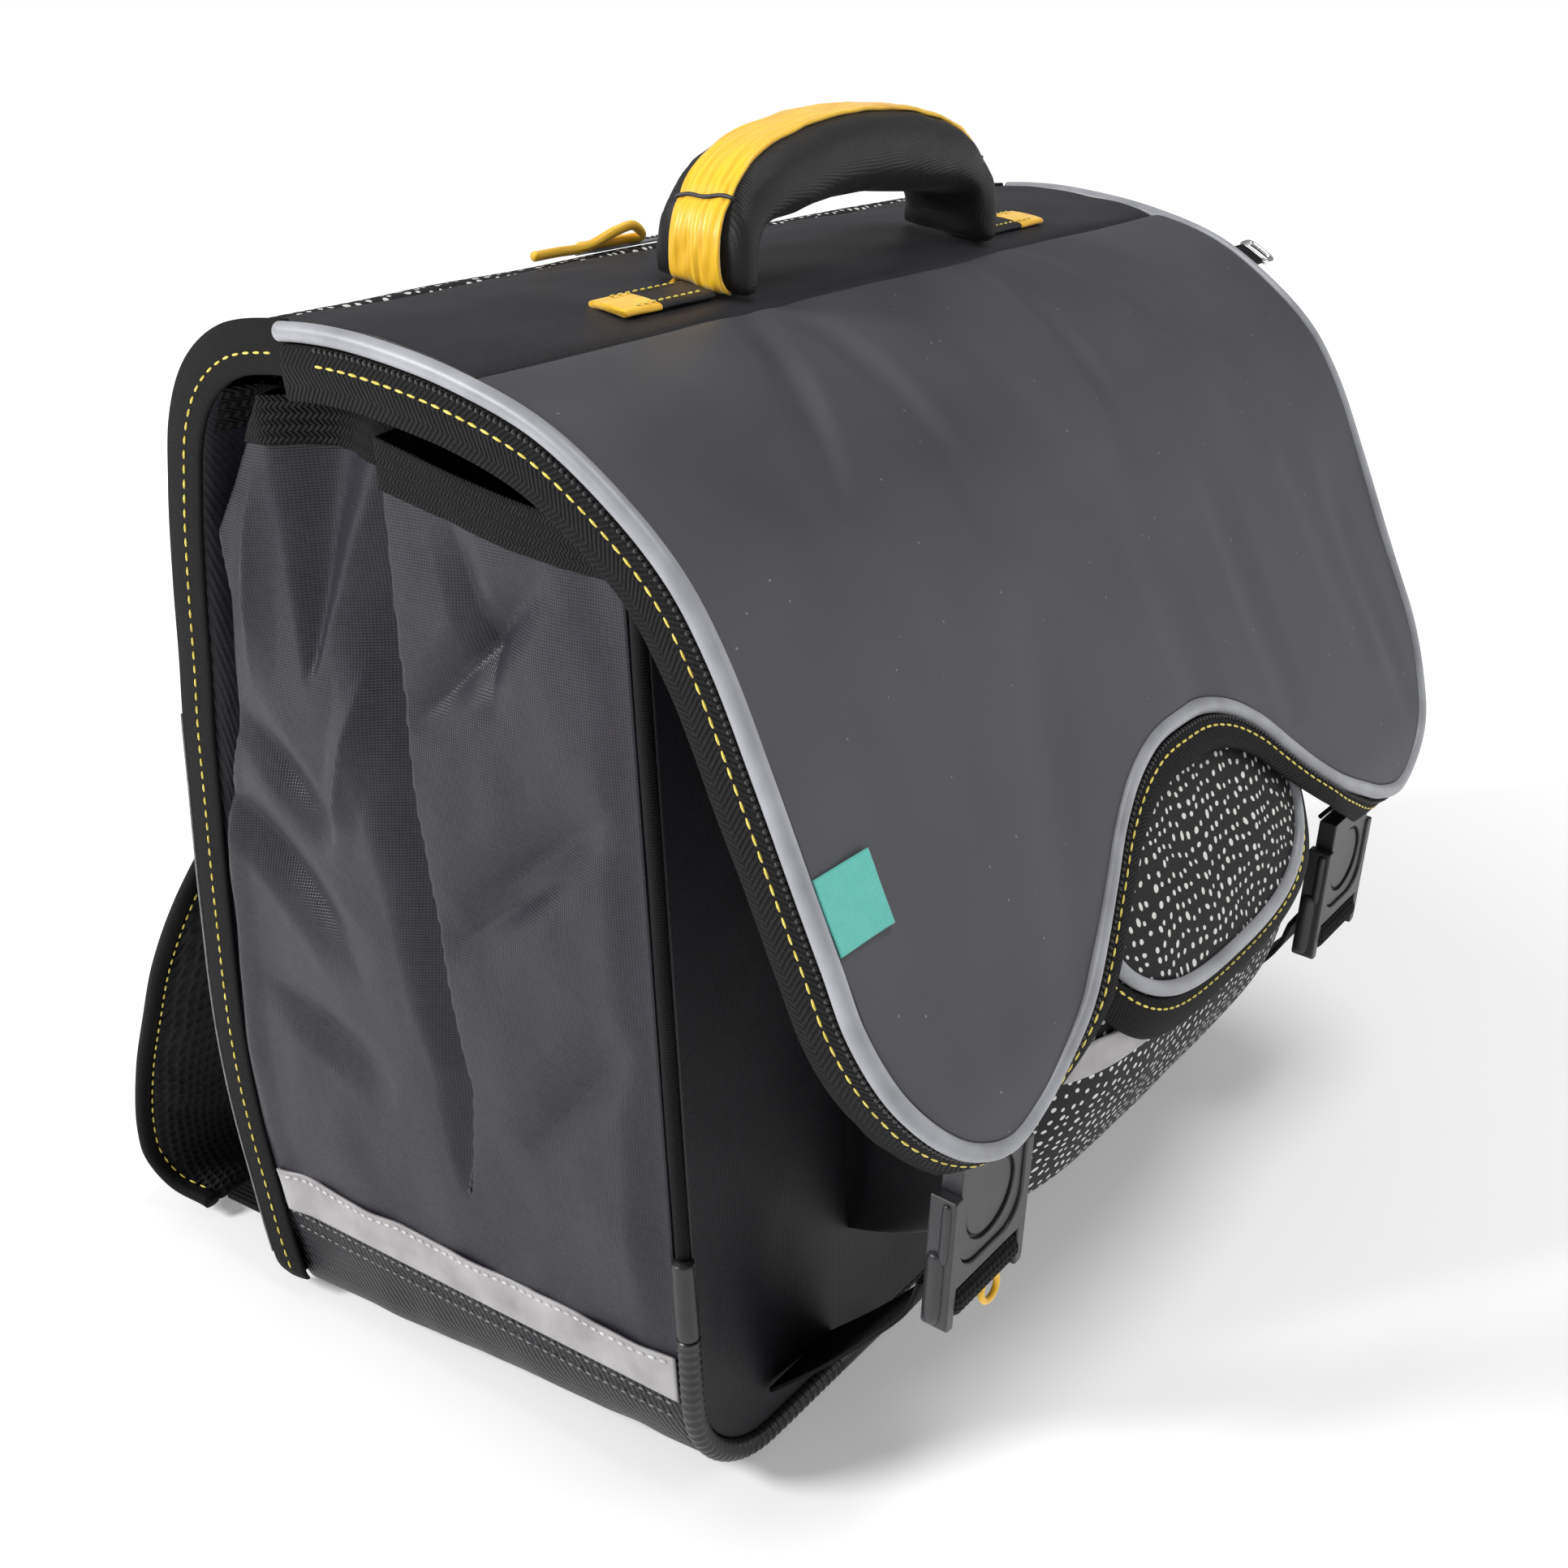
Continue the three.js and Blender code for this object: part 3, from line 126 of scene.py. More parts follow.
# Colour between two hex values by share, and relief by height with its depth in millimetres
def dress(m, shader, share, dark, light, height, depth, strength=1.0):
    mixed = addNode(m, "ShaderNodeMix", {0: share, 6: hexColour(dark), 7: hexColour(light)}, data_type="RGBA")
    bump = addNode(m, "ShaderNodeBump", {"Height": height, "Distance": depth * mm, "Strength": strength})
    m.node_tree.links.new(mixed.outputs[2], shader.inputs["Base Color"])
    m.node_tree.links.new(bump.outputs["Normal"], shader.inputs["Normal"])
    return mixed.outputs[2]


# Ribs roughened by loose fibres, painted lighter on the ribs and darker between them as painted highlight and
# painted shade; the fibres vary the tone at random
def fuzzyRibs(m, shader, where, rib, dark, light, size, high, depth):
    fuzz, fibres = blotches(m, where, size, 3.0, 0.2, high)
    body = addNode(m, "ShaderNodeMath", {0: rib, 1: fibres}, operation="MULTIPLY")
    relief = addNode(m, "ShaderNodeMath", {0: rib, 1: fuzz}, operation="ADD")
    # colour follows the ribs: painted highlight on them, painted shade between them
    dress(m, shader, body, dark, light, relief, depth)


# A plain finish with faint clouds and a fine grain, each as (millimetres, detail)
def mottled(name, colour, roughness, dark, light, clouds, grain, depth, strength=0.5, high=0.7, **sockets):
    m, shader, where = startMaterial(name, colour, roughness, **sockets)
    share = blotches(m, where, *clouds, high=high)[1]
    dress(m, shader, share, dark, light, blotches(m, where, *grain)[0], depth, strength)
    return m


# Rubber-coated polyester: an even matte grey with dust specks and faint cloudy wear
def rubberCoatedPolyester():
    m, shader, where = startMaterial("rubberCoatedPolyester", "#4a4a4e", 0.55, Specular_IOR_Level=0.35)
    cloud = blotches(m, where, 70)[1]
    tone = dress(m, shader, cloud, "#3f3f43", "#4a4a4e", blotches(m, where, 1.1, 4.0)[0], 0.12, 0.5)
    speck = addNode(m, "ShaderNodeTexVoronoi", {"Vector": where, "Scale": 1 / (9 * mm)})
    near = addNode(m, "ShaderNodeMath", {0: speck, 1: 0.045}, operation="LESS_THAN")
    dusty = addNode(m, "ShaderNodeMix", {0: near, 6: tone, 7: hexColour("#77777a")}, data_type="RGBA")
    gloss = addNode(m, "ShaderNodeMapRange", {"Value": cloud, "To Min": 0.48, "To Max": 0.6})
    m.node_tree.links.new(dusty.outputs[2], shader.inputs["Base Color"])
    m.node_tree.links.new(gloss.outputs["Result"], shader.inputs["Roughness"])
    return m


# Plain woven nylon: fine crossed threads, a soft sheen and faint slack
def wovenNylon(name, dark, light, roughness, pitch, sheen, laid=True):
    m, shader, where = startMaterial(name, light, roughness, Sheen_Weight=sheen, Specular_IOR_Level=0.3)
    across, along = clothAxes(m, None if laid else where)[1:]
    slub, streaks = blotches(m, where, 2.4, 4.0)
    cloud = blotches(m, where, 40, 2.0, 0.25, 0.75)[1]
    tone = addNode(m, "ShaderNodeMath", {0: streaks, 1: cloud}, operation="ADD")
    half = addNode(m, "ShaderNodeMath", {0: tone, 1: 0.5}, operation="MULTIPLY")
    relief = addNode(m, "ShaderNodeMath", {0: plainWeave(m, across, along, pitch), 1: slub}, operation="ADD")
    dress(m, shader, half, dark, light, relief, 0.1, 0.6)
    return m


# Coated twill: moulded diagonal ribs like carbon cloth, each rib painted lighter as a painted highlight and
# the grooves painted near black as painted shade
def coatedTwill():
    m, shader = startMaterial("coatedTwill", "#3c3c40", 0.42, Specular_IOR_Level=0.35)[:2]
    across, along = clothAxes(m)[1:]
    slant = addNode(m, "ShaderNodeMath", {0: across, 1: 0.62, 2: along}, operation="MULTIPLY_ADD")
    cut = addNode(m, "ShaderNodeMapRange",
                  {"Value": ribHeight(m, across, 3.2), "From Min": -0.6, "From Max": 0.8})
    ribs = addNode(m, "ShaderNodeMath", {0: ribHeight(m, slant, 2.6), 1: cut}, operation="MULTIPLY")
    # colour follows the rib height: painted highlight on the ribs, painted shade in the grooves
    dress(m, shader, ribs, "#0c0c0e", "#414145", ribs, 0.6)
    return m


# Retroreflective tape: dense glass beads that look like flat warm grey paint
def glassBeadTape(name, dark, light, roughness):
    return mottled(name, light, roughness, dark, light, (16, 3.0), (0.7, 2.0), 0.06, high=0.72,
                   Sheen_Weight=0.2)


# Woven binding tape: slanted ribs that change hand across its width
def chevronWebbing(name, dark, light, pitch, column, depth):
    m, shader, where = startMaterial(name, light, 0.72, Specular_IOR_Level=0.2)
    across, along = clothAxes(m)[1:]
    fold = addNode(m, "ShaderNodeMath", {0: across, 1: column * mm}, operation="PINGPONG")
    slant = addNode(m, "ShaderNodeMath", {0: fold, 1: 0.75, 2: along}, operation="MULTIPLY_ADD")
    fuzzyRibs(m, shader, where, ribHeight(m, slant, pitch), dark, light, 0.9, 0.7, depth)
    return m


# Ribbed grosgrain: close cross ribs on a dense black tape
def grosgrain(name, dark, light, pitch, depth, lengthwise=False):
    m, shader, where = startMaterial(name, light, 0.75, Specular_IOR_Level=0.2)
    across, along = clothAxes(m)[1:]
    rib = ribHeight(m, across if lengthwise else along, pitch)
    fuzzyRibs(m, shader, where, rib, dark, light, 1.0, 0.75, depth)
    return m


# Printed polyester: off-white dots in loose wavy rows on black cloth
def dottedPolyester():
    m, shader = startMaterial("dottedPolyester", "#2a2a2c", 0.7, Specular_IOR_Level=0.25)[:2]
    flat, across, along = clothAxes(m)
    wander = addNode(m, "ShaderNodeTexNoise", {"Vector": flat, "Scale": 1 / (26 * mm)}).outputs["Color"]
    moved = addNode(m, "ShaderNodeVectorMath", {0: wander, 1: (0.012, 0.012, 0)}, operation="MULTIPLY")
    waved = addNode(m, "ShaderNodeVectorMath", {0: flat, 1: moved}, operation="ADD")
    cells = addNode(m, "ShaderNodeTexVoronoi",
                    {"Vector": waved, "Scale": 1 / (4.4 * mm), "Randomness": 0.4}, voronoi_dimensions="2D")
    shade = addNode(m, "ShaderNodeSeparateColor", {"Color": cells.outputs["Color"]})
    size = addNode(m, "ShaderNodeMapRange", {"Value": shade, "To Min": 0.17, "To Max": 0.25})
    gap = addNode(m, "ShaderNodeMath", {0: size, 1: cells}, operation="SUBTRACT")
    dot = addNode(m, "ShaderNodeMapRange", {"Value": gap, "From Min": -0.01, "From Max": 0.03})
    relief = addNode(m, "ShaderNodeMath", {0: plainWeave(m, across, along, 0.8), 1: dot}, operation="ADD")
    dress(m, shader, dot, "#1b1b1d", "#d9d9d4", relief, 0.12, 0.5)
    return m


# Spacer mesh: black knit with rows of small open cells, the cells painted near black as painted shade inside
# them
def spacerMesh():
    m, shader, where = startMaterial("spacerMesh", "#1d1d20", 0.8, Specular_IOR_Level=0.25)
    cells = addNode(m, "ShaderNodeTexVoronoi",
                    {"Vector": clothAxes(m, where)[0], "Scale": 1 / (3.4 * mm), "Randomness": 0.12},
                    voronoi_dimensions="2D")
    wall = addNode(m, "ShaderNodeMapRange", {"Value": cells, "From Min": 0.18, "From Max": 0.5})
    # painted shade: darkest in the middle of each open cell
    dress(m, shader, wall, "#030303", "#17171a", wall, 0.9, 0.9)
    return m


# Yellow nylon: thin bright cloth drawn into fine lengthwise gathers, painted lighter on their crests and
# darker in their hollows as painted highlight and painted shade
def gatheredNylon():
    m, shader = startMaterial("gatheredNylon", "#f5c518", 0.42, Sheen_Weight=0.25)[:2]
    drawn = addNode(m, "ShaderNodeMapping", {"Vector": clothAxes(m)[0], "Scale": (1, 0.09, 1)})
    gather, share = blotches(m, drawn, 1.7, 3.0, 0.3, 0.62)
    # the colour share comes from the same noise as the gathers' relief: painted shade in the hollows, painted
    # highlight on the crests
    dress(m, shader, share, "#e8ac0c", "#fac71e", gather, 0.5, 0.7)
    return m


# Injection-moulded acetal: dark grey, satin, with a fine spark-eroded grain
def mouldedAcetal():
    return mottled("mouldedAcetal", "#424246", 0.38, "#242427", "#2e2e31", (9, 2.0), (0.5, 3.0), 0.05)


# Soft PVC: black tube with a low wet gloss
def softPvc():
    return mottled("softPvc", "#2c2c2f", 0.36, "#151517", "#222225", (12, 2.0), (1.2, 3.0), 0.06)


# Polyester thread: twisted, slightly shiny
def sewingThread(name, dark, light):
    return mottled(name, light, 0.45, dark, light, (2.5, 3.0), (0.4, 2.0), 0.05, 0.6, Sheen_Weight=0.2)


# Woven satin label: bare teal with fine cross ribs, painted darker between the ribs as painted shade
def wovenLabel():
    m, shader, where = startMaterial("wovenLabel", "#72d2c6", 0.5, Sheen_Weight=0.15)
    rib = ribHeight(m, clothAxes(m)[2], 0.7)
    share = addNode(m, "ShaderNodeMath", {0: rib, 1: blotches(m, where, 3)[0]}, operation="MULTIPLY")
    # colour follows the ribs, varied by faint clouds: painted shade between the ribs
    dress(m, shader, share, "#4fb5a8", "#6fcdc0", rib, 0.12, 0.7)
    return m


# Nickel-plated steel wire: bright, with patches of duller plating
def nickelWire():
    m, shader, where = startMaterial("nickelWire", "#e6e6e8", 0.2, Metallic=1.0)
    dull = blotches(m, where, 3)[0]
    rough = addNode(m, "ShaderNodeMapRange", {"Value": dull, "To Min": 0.12, "To Max": 0.32})
    m.node_tree.links.new(rough.outputs["Result"], shader.inputs["Roughness"])
    return m


finish = {
    "flap": rubberCoatedPolyester(),
    "band": wovenNylon("darkWovenNylon", "#151419", "#232228", 0.5, 0.9, 0.02),
    "gusset": wovenNylon("greyVioletNylon", "#17151c", "#2a2730", 0.4, 0.9, 0.02),
    "front": wovenNylon("charcoalNylon", "#111115", "#1c1b21", 0.4, 0.9, 0.03),
    "handle": wovenNylon("blackHandleNylon", "#0b0b0d", "#18181b", 0.45, 0.8, 0.04, laid=False),
    "strapCloth": wovenNylon("blackStrapNylon", "#0b0b0d", "#161619", 0.5, 0.8, 0.04, laid=False),
    "base": coatedTwill(),
    "piping": glassBeadTape("reflectivePiping", "#7f8085", "#9b9ca2", 0.42),
    "tape": glassBeadTape("reflectiveTape", "#888485", "#aaa7a8", 0.45),
    "zipTape": glassBeadTape("greyZipTape", "#6d6d72", "#8b8b90", 0.6),
    "binding": chevronWebbing("slantedRibWebbing", "#030303", "#232325", 1.9, 5.3, 0.6),
    "topTape": chevronWebbing("herringboneTape", "#030303", "#262628", 1.3, 1.7, 0.5),
    "edgeTape": grosgrain("blackEdgeTape", "#050505", "#131314", 0.9, 0.15),
    "webbing": grosgrain("ribbedWebbing", "#050505", "#1c1c1e", 2.2, 0.4, lengthwise=True),
    "dots": dottedPolyester(),
    "mesh": spacerMesh(),
    "yellow": gatheredNylon(),
    "plastic": mouldedAcetal(),
    "tube": softPvc(),
    "yellowThread": sewingThread("yellowThread", "#c9b13a", "#efe06a"),
    "whiteThread": sewingThread("whiteThread", "#b5b5b5", "#d9d9d9"),
    "blackThread": sewingThread("blackThread", "#0d0d0e", "#1c1c1e"),
    "greyThread": sewingThread("greyThread", "#5a5a5c", "#7d7d7f"),
    "label": wovenLabel(),
    "wire": nickelWire(),
}
print("materials made")


# Modelling helpers
def finishPiece(name, bm, material, nodes=(), smooth=True):
    mesh = bpy.data.meshes.new(name)
    bm.to_mesh(mesh)
    bm.free()
    for face in mesh.polygons:
        face.use_smooth = smooth
    for one in material if isinstance(material, (list, tuple)) else [material]:
        mesh.materials.append(one)
    piece = bpy.data.objects.new(name, mesh)
    scene.collection.objects.link(piece)
    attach(piece, "root")
    if nodes:
        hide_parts(*nodes)
    return piece


# A grid whose points are set by place(u, v), which gives a point and its flat cloth place
def gridMesh(columns, rows, place):
    bm = bmesh.new()
    layer = bm.loops.layers.uv.new("Cloth")
    bmesh.ops.create_grid(bm, x_segments=columns, y_segments=rows, size=0.5)
    flat = {}
    for vert in bm.verts:
        point, cloth = place(vert.co.x + 0.5, vert.co.y + 0.5)
        vert.co = point * mm
        flat[vert] = Vector(cloth) * mm
    for face in bm.faces:
        for loop in face.loops:
            loop[layer].uv = flat[loop.vert]
    return bm


bagMiddle = Vector((0, 0, 180)) * mm


def faceAway(bm):  # the faces point away from the bag's middle
    bm.normal_update()
    outwards = sum(f.normal.dot(f.calc_center_median() - bagMiddle) * f.calc_area() for f in bm.faces)
    if outwards < 0:
        bmesh.ops.reverse_faces(bm, faces=bm.faces[:])


def clothSheet(name, columns, rows, place, wall, material, nodes=()):
    bm = gridMesh(columns, rows, place)
    faceAway(bm)
    piece = finishPiece(name, bm, material, nodes)
    if wall:
        thick = piece.modifiers.new("wall", "SOLIDIFY")
        thick.thickness = wall * mm
        thick.offset = -1.0
    return piece


# Sections of cords and tapes: [across, out, distance round] for each point
def measured(points):
    rows, distance = [], 0.0
    for k, (a, b) in enumerate(points):
        rows.append((a, b, distance))
        after = points[(k + 1) % len(points)]
        distance += math.hypot(after[0] - a, after[1] - b)
    return rows, distance


def roundSection(radius, sides):
    turns = [2 * math.pi * k / sides for k in range(sides)]
    return measured([(radius * math.cos(t), radius * math.sin(t)) for t in turns])


def tapeSection(width, wall, crown=0.0, across=8, corner=3):
    half, r = width / 2, wall / 2
    points = []
    for sign in (1, -1):
        for k in range(across + 1):
            a = sign * (-half + r + (width - wall) * k / across)
            points.append((a, sign * r + crown * (1 - (a / half) ** 2)))
        for k in range(1, corner):
            turn = math.pi / 2 - math.pi * k / corner
            points.append((sign * (half - r + r * math.cos(turn)), sign * r * math.sin(turn)))
    return measured(points)


# A closed body: the section carried by put(a, b, v), which gives a point and a distance along
def loftBody(name, section, rows, put, material, nodes=(), capped=True):
    points, total = section
    count = len(points)

    def place(u, v):
        k = round(u * count)
        a, b, distance = points[k % count]
        point, along = put(a, b, v)
        return point, (total if k == count else distance, along)

    bm = gridMesh(count, rows, place)
    bmesh.ops.remove_doubles(bm, verts=bm.verts[:], dist=0.002 * mm)
    if capped:
        rim = [e for e in bm.edges if e.is_boundary]
        bmesh.ops.holes_fill(bm, edges=rim, sides=0)
    bmesh.ops.recalc_face_normals(bm, faces=bm.faces[:])
    return finishPiece(name, bm, material, nodes)


# Smooth line through points, with its lengths, as centripetal spans
spanSteps = 24


def smoothCurve(points, steps=spanSteps):
    ends = [points[0] * 2 - points[1], *points, points[-1] * 2 - points[-2]]
    line = [points[0].copy()]
    for k in range(len(points) - 1):
        p0, p1, p2, p3 = ends[k:k + 4]
        d0, d1, d2 = [max(1e-4, (b - a).length) ** 0.5 for a, b in ((p0, p1), (p1, p2), (p2, p3))]
        t1 = ((p1 - p0) / d0 - (p2 - p0) / (d0 + d1) + (p2 - p1) / d1) * d1
        t2 = ((p2 - p1) / d1 - (p3 - p1) / (d1 + d2) + (p3 - p2) / d2) * d1
        for j in range(1, steps + 1):
            t = j / steps
            cubic = (p1 - p2) * 2 + t1 + t2
            square = (p2 - p1) * 3 - t1 * 2 - t2
            line.append(p1 + t1 * t + square * t * t + cubic * t ** 3)
    lengths = [0.0]
    for a, b in zip(line, line[1:]):
        lengths.append(lengths[-1] + (b - a).length)
    return {"line": line, "lengths": lengths, "total": lengths[-1]}


def onCurve(curve, distance):
    lengths, line = curve["lengths"], curve["line"]
    k = min(len(line) - 2, max(0, bisect.bisect_right(lengths, distance) - 1))
    t = (distance - lengths[k]) / max(1e-9, lengths[k + 1] - lengths[k])
    before = line[k + 1] - line[max(0, k - 1)]
    after = line[min(len(line) - 1, k + 2)] - line[k]
    t = min(1.0, max(0.0, t))
    return line[k].lerp(line[k + 1], t), before.normalized().lerp(after.normalized(), t).normalized()


def cordAlong(name, points, radius, sides, rows, material, nodes=(), swell=None):
    curve = smoothCurve([Vector(p) for p in points])
    tangent = onCurve(curve, 0)[1]
    side = tangent.orthogonal().normalized()
    frames = []
    for k in range(rows + 1):
        point, after = onCurve(curve, curve["total"] * k / rows)
        side.rotate(tangent.rotation_difference(after))
        tangent = after
        frames.append((point, side.copy(), after.cross(side)))

    def put(a, b, v):
        point, first, second = frames[round(v * rows)]
        scale = swell(v * curve["total"], curve["total"]) if swell else 1.0
        return point + (first * a + second * b) * scale, v * curve["total"]

    return loftBody(name, roundSection(radius, sides), rows, put, material, nodes)


# Stitches: short rounded lengths of thread along a line of points
def stitchRun(name, points, material, length=3.4, gap=1.3, radius=0.45):
    curve = smoothCurve(points, steps=2)
    bm = bmesh.new()
    at = gap
    while at + length < curve["total"]:
        start, end = onCurve(curve, at)[0], onCurve(curve, at + length)[0]
        way = end - start
        turn = way.to_track_quat("Z", "Y")
        size = Vector((radius, radius, way.length / 2))
        bmesh.ops.create_uvsphere(bm, u_segments=6, v_segments=4, radius=1.0,
                                  matrix=Matrix.LocRotScale((start + end) / 2 * mm, turn, size * mm))
        at += length + gap
    return finishPiece(name, bm, material, ())


def smooth(t):
    c = min(1.0, max(0.0, t))
    return c * c * (3 - 2 * c)


def squared(share, power):  # a sine or cosine drawn out, for sections squarer than a circle
    return math.copysign(abs(share) ** power, share)


def fromTable(rows, at):  # rows of (key, value), with straight lines between them
    keys = [row[0] for row in rows]
    k = min(len(rows) - 2, max(0, bisect.bisect_right(keys, at) - 1))
    t = min(1.0, max(0.0, (at - keys[k]) / (keys[k + 1] - keys[k])))
    return rows[k][1] + t * (rows[k + 1][1] - rows[k][1])


def drift(x, y, z, size, seed=0.0):  # soft unevenness of cloth, -1 to 1
    return noise.noise(Vector((x / size + seed, y / size - seed, z / size + 2 * seed)))


# Main sizes of the bag
bag = {
    "width": 380, "depth": 200, "height": 360, "corner": 36, "backCorner": 14, "shellSide": 191.4,
    "backPad": 10, "flapWall": 3, "backCrown": 6, "crownFade": 0.15, "yokeSeam": 296, "yokeTop": 36,
    "bandSeam": 50, "hinge": 20, "reach": 88, "lobe": 145, "arch": 72, "flapHalf": 196,
    "piping": 2.8, "seat": 0.3, "edgeGap": 0.7, "backFoot": 6,
}
halfWidth = bag["width"] / 2
frontFace = -bag["depth"] / 2
flapFront = frontFace - bag["reach"]

# Side outline of the back (share of half depth, share of height) and of the top and flap
# (share of the way out, share of the drop)
backOutline = [
    (0.98, 0.0167), (1.03, 0.083), (1.08, 0.167), (1.11, 0.264), (1.1, 0.361), (1.06, 0.469),
    (1.02, 0.572), (0.96, 0.686), (0.91, 0.778), (0.86, 0.85), (0.8, 0.91), (0.68, 0.96),
    (0.49, 0.991),
]
flapOutline = [
    (0, 0), (0.096, 0), (0.192, 0.01), (0.327, 0.036), (0.471, 0.084), (0.587, 0.158),
    (0.673, 0.237), (0.731, 0.326), (0.793, 0.465), (0.851, 0.605), (0.904, 0.73),
    (0.952, 0.847), (0.986, 0.93), (1.004, 1.02),
]
outlinePoints = [Vector((0, back * bag["depth"] / 2, up * bag["height"])) for back, up in backOutline]
outlinePoints += [
    Vector((0, bag["hinge"] + out * (flapFront - bag["hinge"]),
            bag["height"] + down * (bag["lobe"] - bag["height"])))
    for out, down in flapOutline
]
outlinePoints[0].z = bag["backFoot"]
shell = smoothCurve(outlinePoints)


def lengthWhere(test):
    for point, length in zip(shell["line"], shell["lengths"]):
        if test(point):
            return length
    return shell["total"]


def topAtDepth(y):  # over the top, where it has come forward to y
    return lengthWhere(lambda p: p.z > bag["yokeSeam"] and p.y < y)


def flapAtHeight(z):
    return lengthWhere(lambda p: p.y < frontFace and p.z < z)


yokeFootAt = lengthWhere(lambda p: p.z > bag["yokeSeam"])
yokeTopAt = topAtDepth(bag["yokeTop"])
hingeAt = topAtDepth(bag["hinge"])
bandSeamAt = topAtDepth(-bag["bandSeam"])


def onShell(x, s, out=0.0):
    point, along = onCurve(shell, min(shell["total"], max(0.0, s)))
    across = min(1.0, abs(x) / bag["shellSide"])
    over = (s - yokeFootAt) / (yokeTopAt - yokeFootAt)
    rise = smooth(s / yokeFootAt) * (1 - smooth(over - bag["crownFade"]))
    lift = out + bag["backCrown"] * rise * (1 - across * across)
    return Vector((x, point.y + along.z * lift, point.z - along.y * lift))


def closeEnds(v, pull=0.7):  # rows lie closer together near both ends
    return v - pull * math.sin(2 * math.pi * v) / (2 * math.pi)


def seamDip(distance, depth=0.9, reach=1.3):  # cloth turned down into a seam
    return depth * math.exp(-max(0.0, distance) / reach)


seamCross = 0.8  # neighbouring sheets run this far past their seam


bothSides = (("left", -1), ("right", 1))

# Back panel: padded spacer mesh with sewn channels
backPads = {"channel": 3.5, "channelWidth": 7.0, "middle": 16.0, "cross": 0.3, "side": 152.0}


def backPanel():
    def place(u, v):
        x = (2 * closeEnds(u) - 1) * bag["shellSide"]
        s = closeEnds(v) * (yokeFootAt - 0.3)
        seams = [abs(abs(x) - backPads["middle"]), abs(abs(x) - backPads["side"])]
        seams.append(abs(s - backPads["cross"] * yokeFootAt))
        dip = backPads["channel"] * math.exp(-(min(seams) / backPads["channelWidth"]) ** 1.3)
        edge = seamDip(min(bag["shellSide"] - abs(x), s, yokeFootAt - s), 2.5, 6)
        puff = 0.4 * drift(x, s, 0, 30, 3)
        return onShell(x, s, puff - dip - edge), (x, s)

    piece = clothSheet("back_pad", 150, 110, place, 8, finish["mesh"], ["back_panel"])
    lines = []
    for x in (-backPads["side"], -backPads["middle"], backPads["middle"], backPads["side"]):
        lines.append([onShell(x, s, -backPads["channel"] + 0.3) for s in range(8, 290, 4)])
    for k, line in enumerate(lines):
        stitchRun(f"back_seam_{k}", line, finish["blackThread"], 3.2, 1.2, 0.5)


backPanel()


# Dotted yoke over the top of the back, and the dark band with the handle
def rearYoke():
    def place(u, v):
        x = (2 * closeEnds(u) - 1) * bag["shellSide"]
        start, end = yokeFootAt - seamCross, yokeTopAt + seamCross
        s = start + closeEnds(v) * (end - start)
        dip = seamDip(min(s - start, end - s) - seamCross, 1.6)
        return onShell(x, s, 0.5 * drift(x, s, 0, 45, 5) - dip), (x, s)

    clothSheet("yoke_cloth", 120, 40, place, 3.4, finish["dots"], ["rear_yoke"])


def topBand():
    def place(u, v):
        x = (2 * closeEnds(u) - 1) * bag["shellSide"]
        start, end = yokeTopAt - seamCross, bandSeamAt + seamCross
        s = start + closeEnds(v) * (end - start)
        dip = seamDip(min(s - start, end - s) - seamCross, 1.9, 1.8)
        slack = 0.8 * drift(x, s, 0, 38, 9) + 0.5 * drift(0.4 * x, s, 0, 15, 2)
        return onShell(x, s, slack - dip), (x, s)

    clothSheet("band_cloth", 150, 70, place, 2.4, finish["band"], ["top_band"])


rearYoke()
topBand()

# Flap edge of one half: share of its half width, share of the arch's height
flapEdge = [
    (1, 0.72), (0.972, 0.47), (0.918, 0.25), (0.85, 0.09), (0.76, 0), (0.67, 0.05), (0.585, 0.15),
    (0.5, 0.27), (0.418, 0.42), (0.342, 0.59), (0.265, 0.77), (0.18, 0.91), (0.09, 0.985), (0, 1),
]
halfEdge = [(a * bag["flapHalf"], flapAtHeight(bag["lobe"] + r * bag["arch"])) for a, r in flapEdge]
sideRun = 15
sideEdge = [hingeAt + k / sideRun * (halfEdge[0][1] - hingeAt) for k in range(sideRun)]
wholeEdge = [Vector((-bag["flapHalf"], s, 0)) for s in sideEdge]
wholeEdge += [Vector((-x, s, 0)) for x, s in halfEdge]
wholeEdge += [Vector((x, s, 0)) for x, s in reversed(halfEdge[:-1])]
wholeEdge += [Vector((bag["flapHalf"], s, 0)) for s in reversed(sideEdge)]
edgeCurve = smoothCurve(wholeEdge)
lowerFrom = edgeCurve["lengths"][sideRun * spanSteps]
lowerTo = edgeCurve["total"] - lowerFrom


def overEdge(distance, reach, out):  # reach beyond the edge, out of the flap's face
    point, along = onCurve(edgeCurve, distance)
    return onShell(point.x - along.y * reach, point.y + along.x * reach, out)


# Flap creases: start and end as (x, share of the way down), depth and half width
flapCreases = [
    (-78, 0.0, -128, 0.32, 2.2, 11), (-62, 0.0, -70, 0.42, 1.8, 12), (-20, 0.02, -8, 0.5, 1.3, 16),
    (52, 0.0, 22, 0.4, 2.4, 12), (84, 0.0, 118, 0.45, 2.2, 13), (120, 0.1, 150, 0.8, 1.6, 16),
    (-150, 0.2, -120, 0.7, 1.1, 20), (10, 0.35, 26, 0.85, 1.4, 18), (66, 0.3, 78, 0.8, 1.5, 15),
    (-60, 0.45, -100, 0.9, 1.0, 20), (158, 0.5, 172, 0.9, 1.4, 12),
]


def creaseDepth(x, down, rows):
    depth = 0.0
    for x0, s0, x1, s1, deep, wide in rows:
        t = (down - s0) / (s1 - s0)
        if 0 < t < 1:
            away = abs(x - x0 - t * (x1 - x0)) / wide
            if away < 1:
                depth += deep * (1 - smooth(away)) * math.sin(math.pi * t) ** 0.6
    return depth


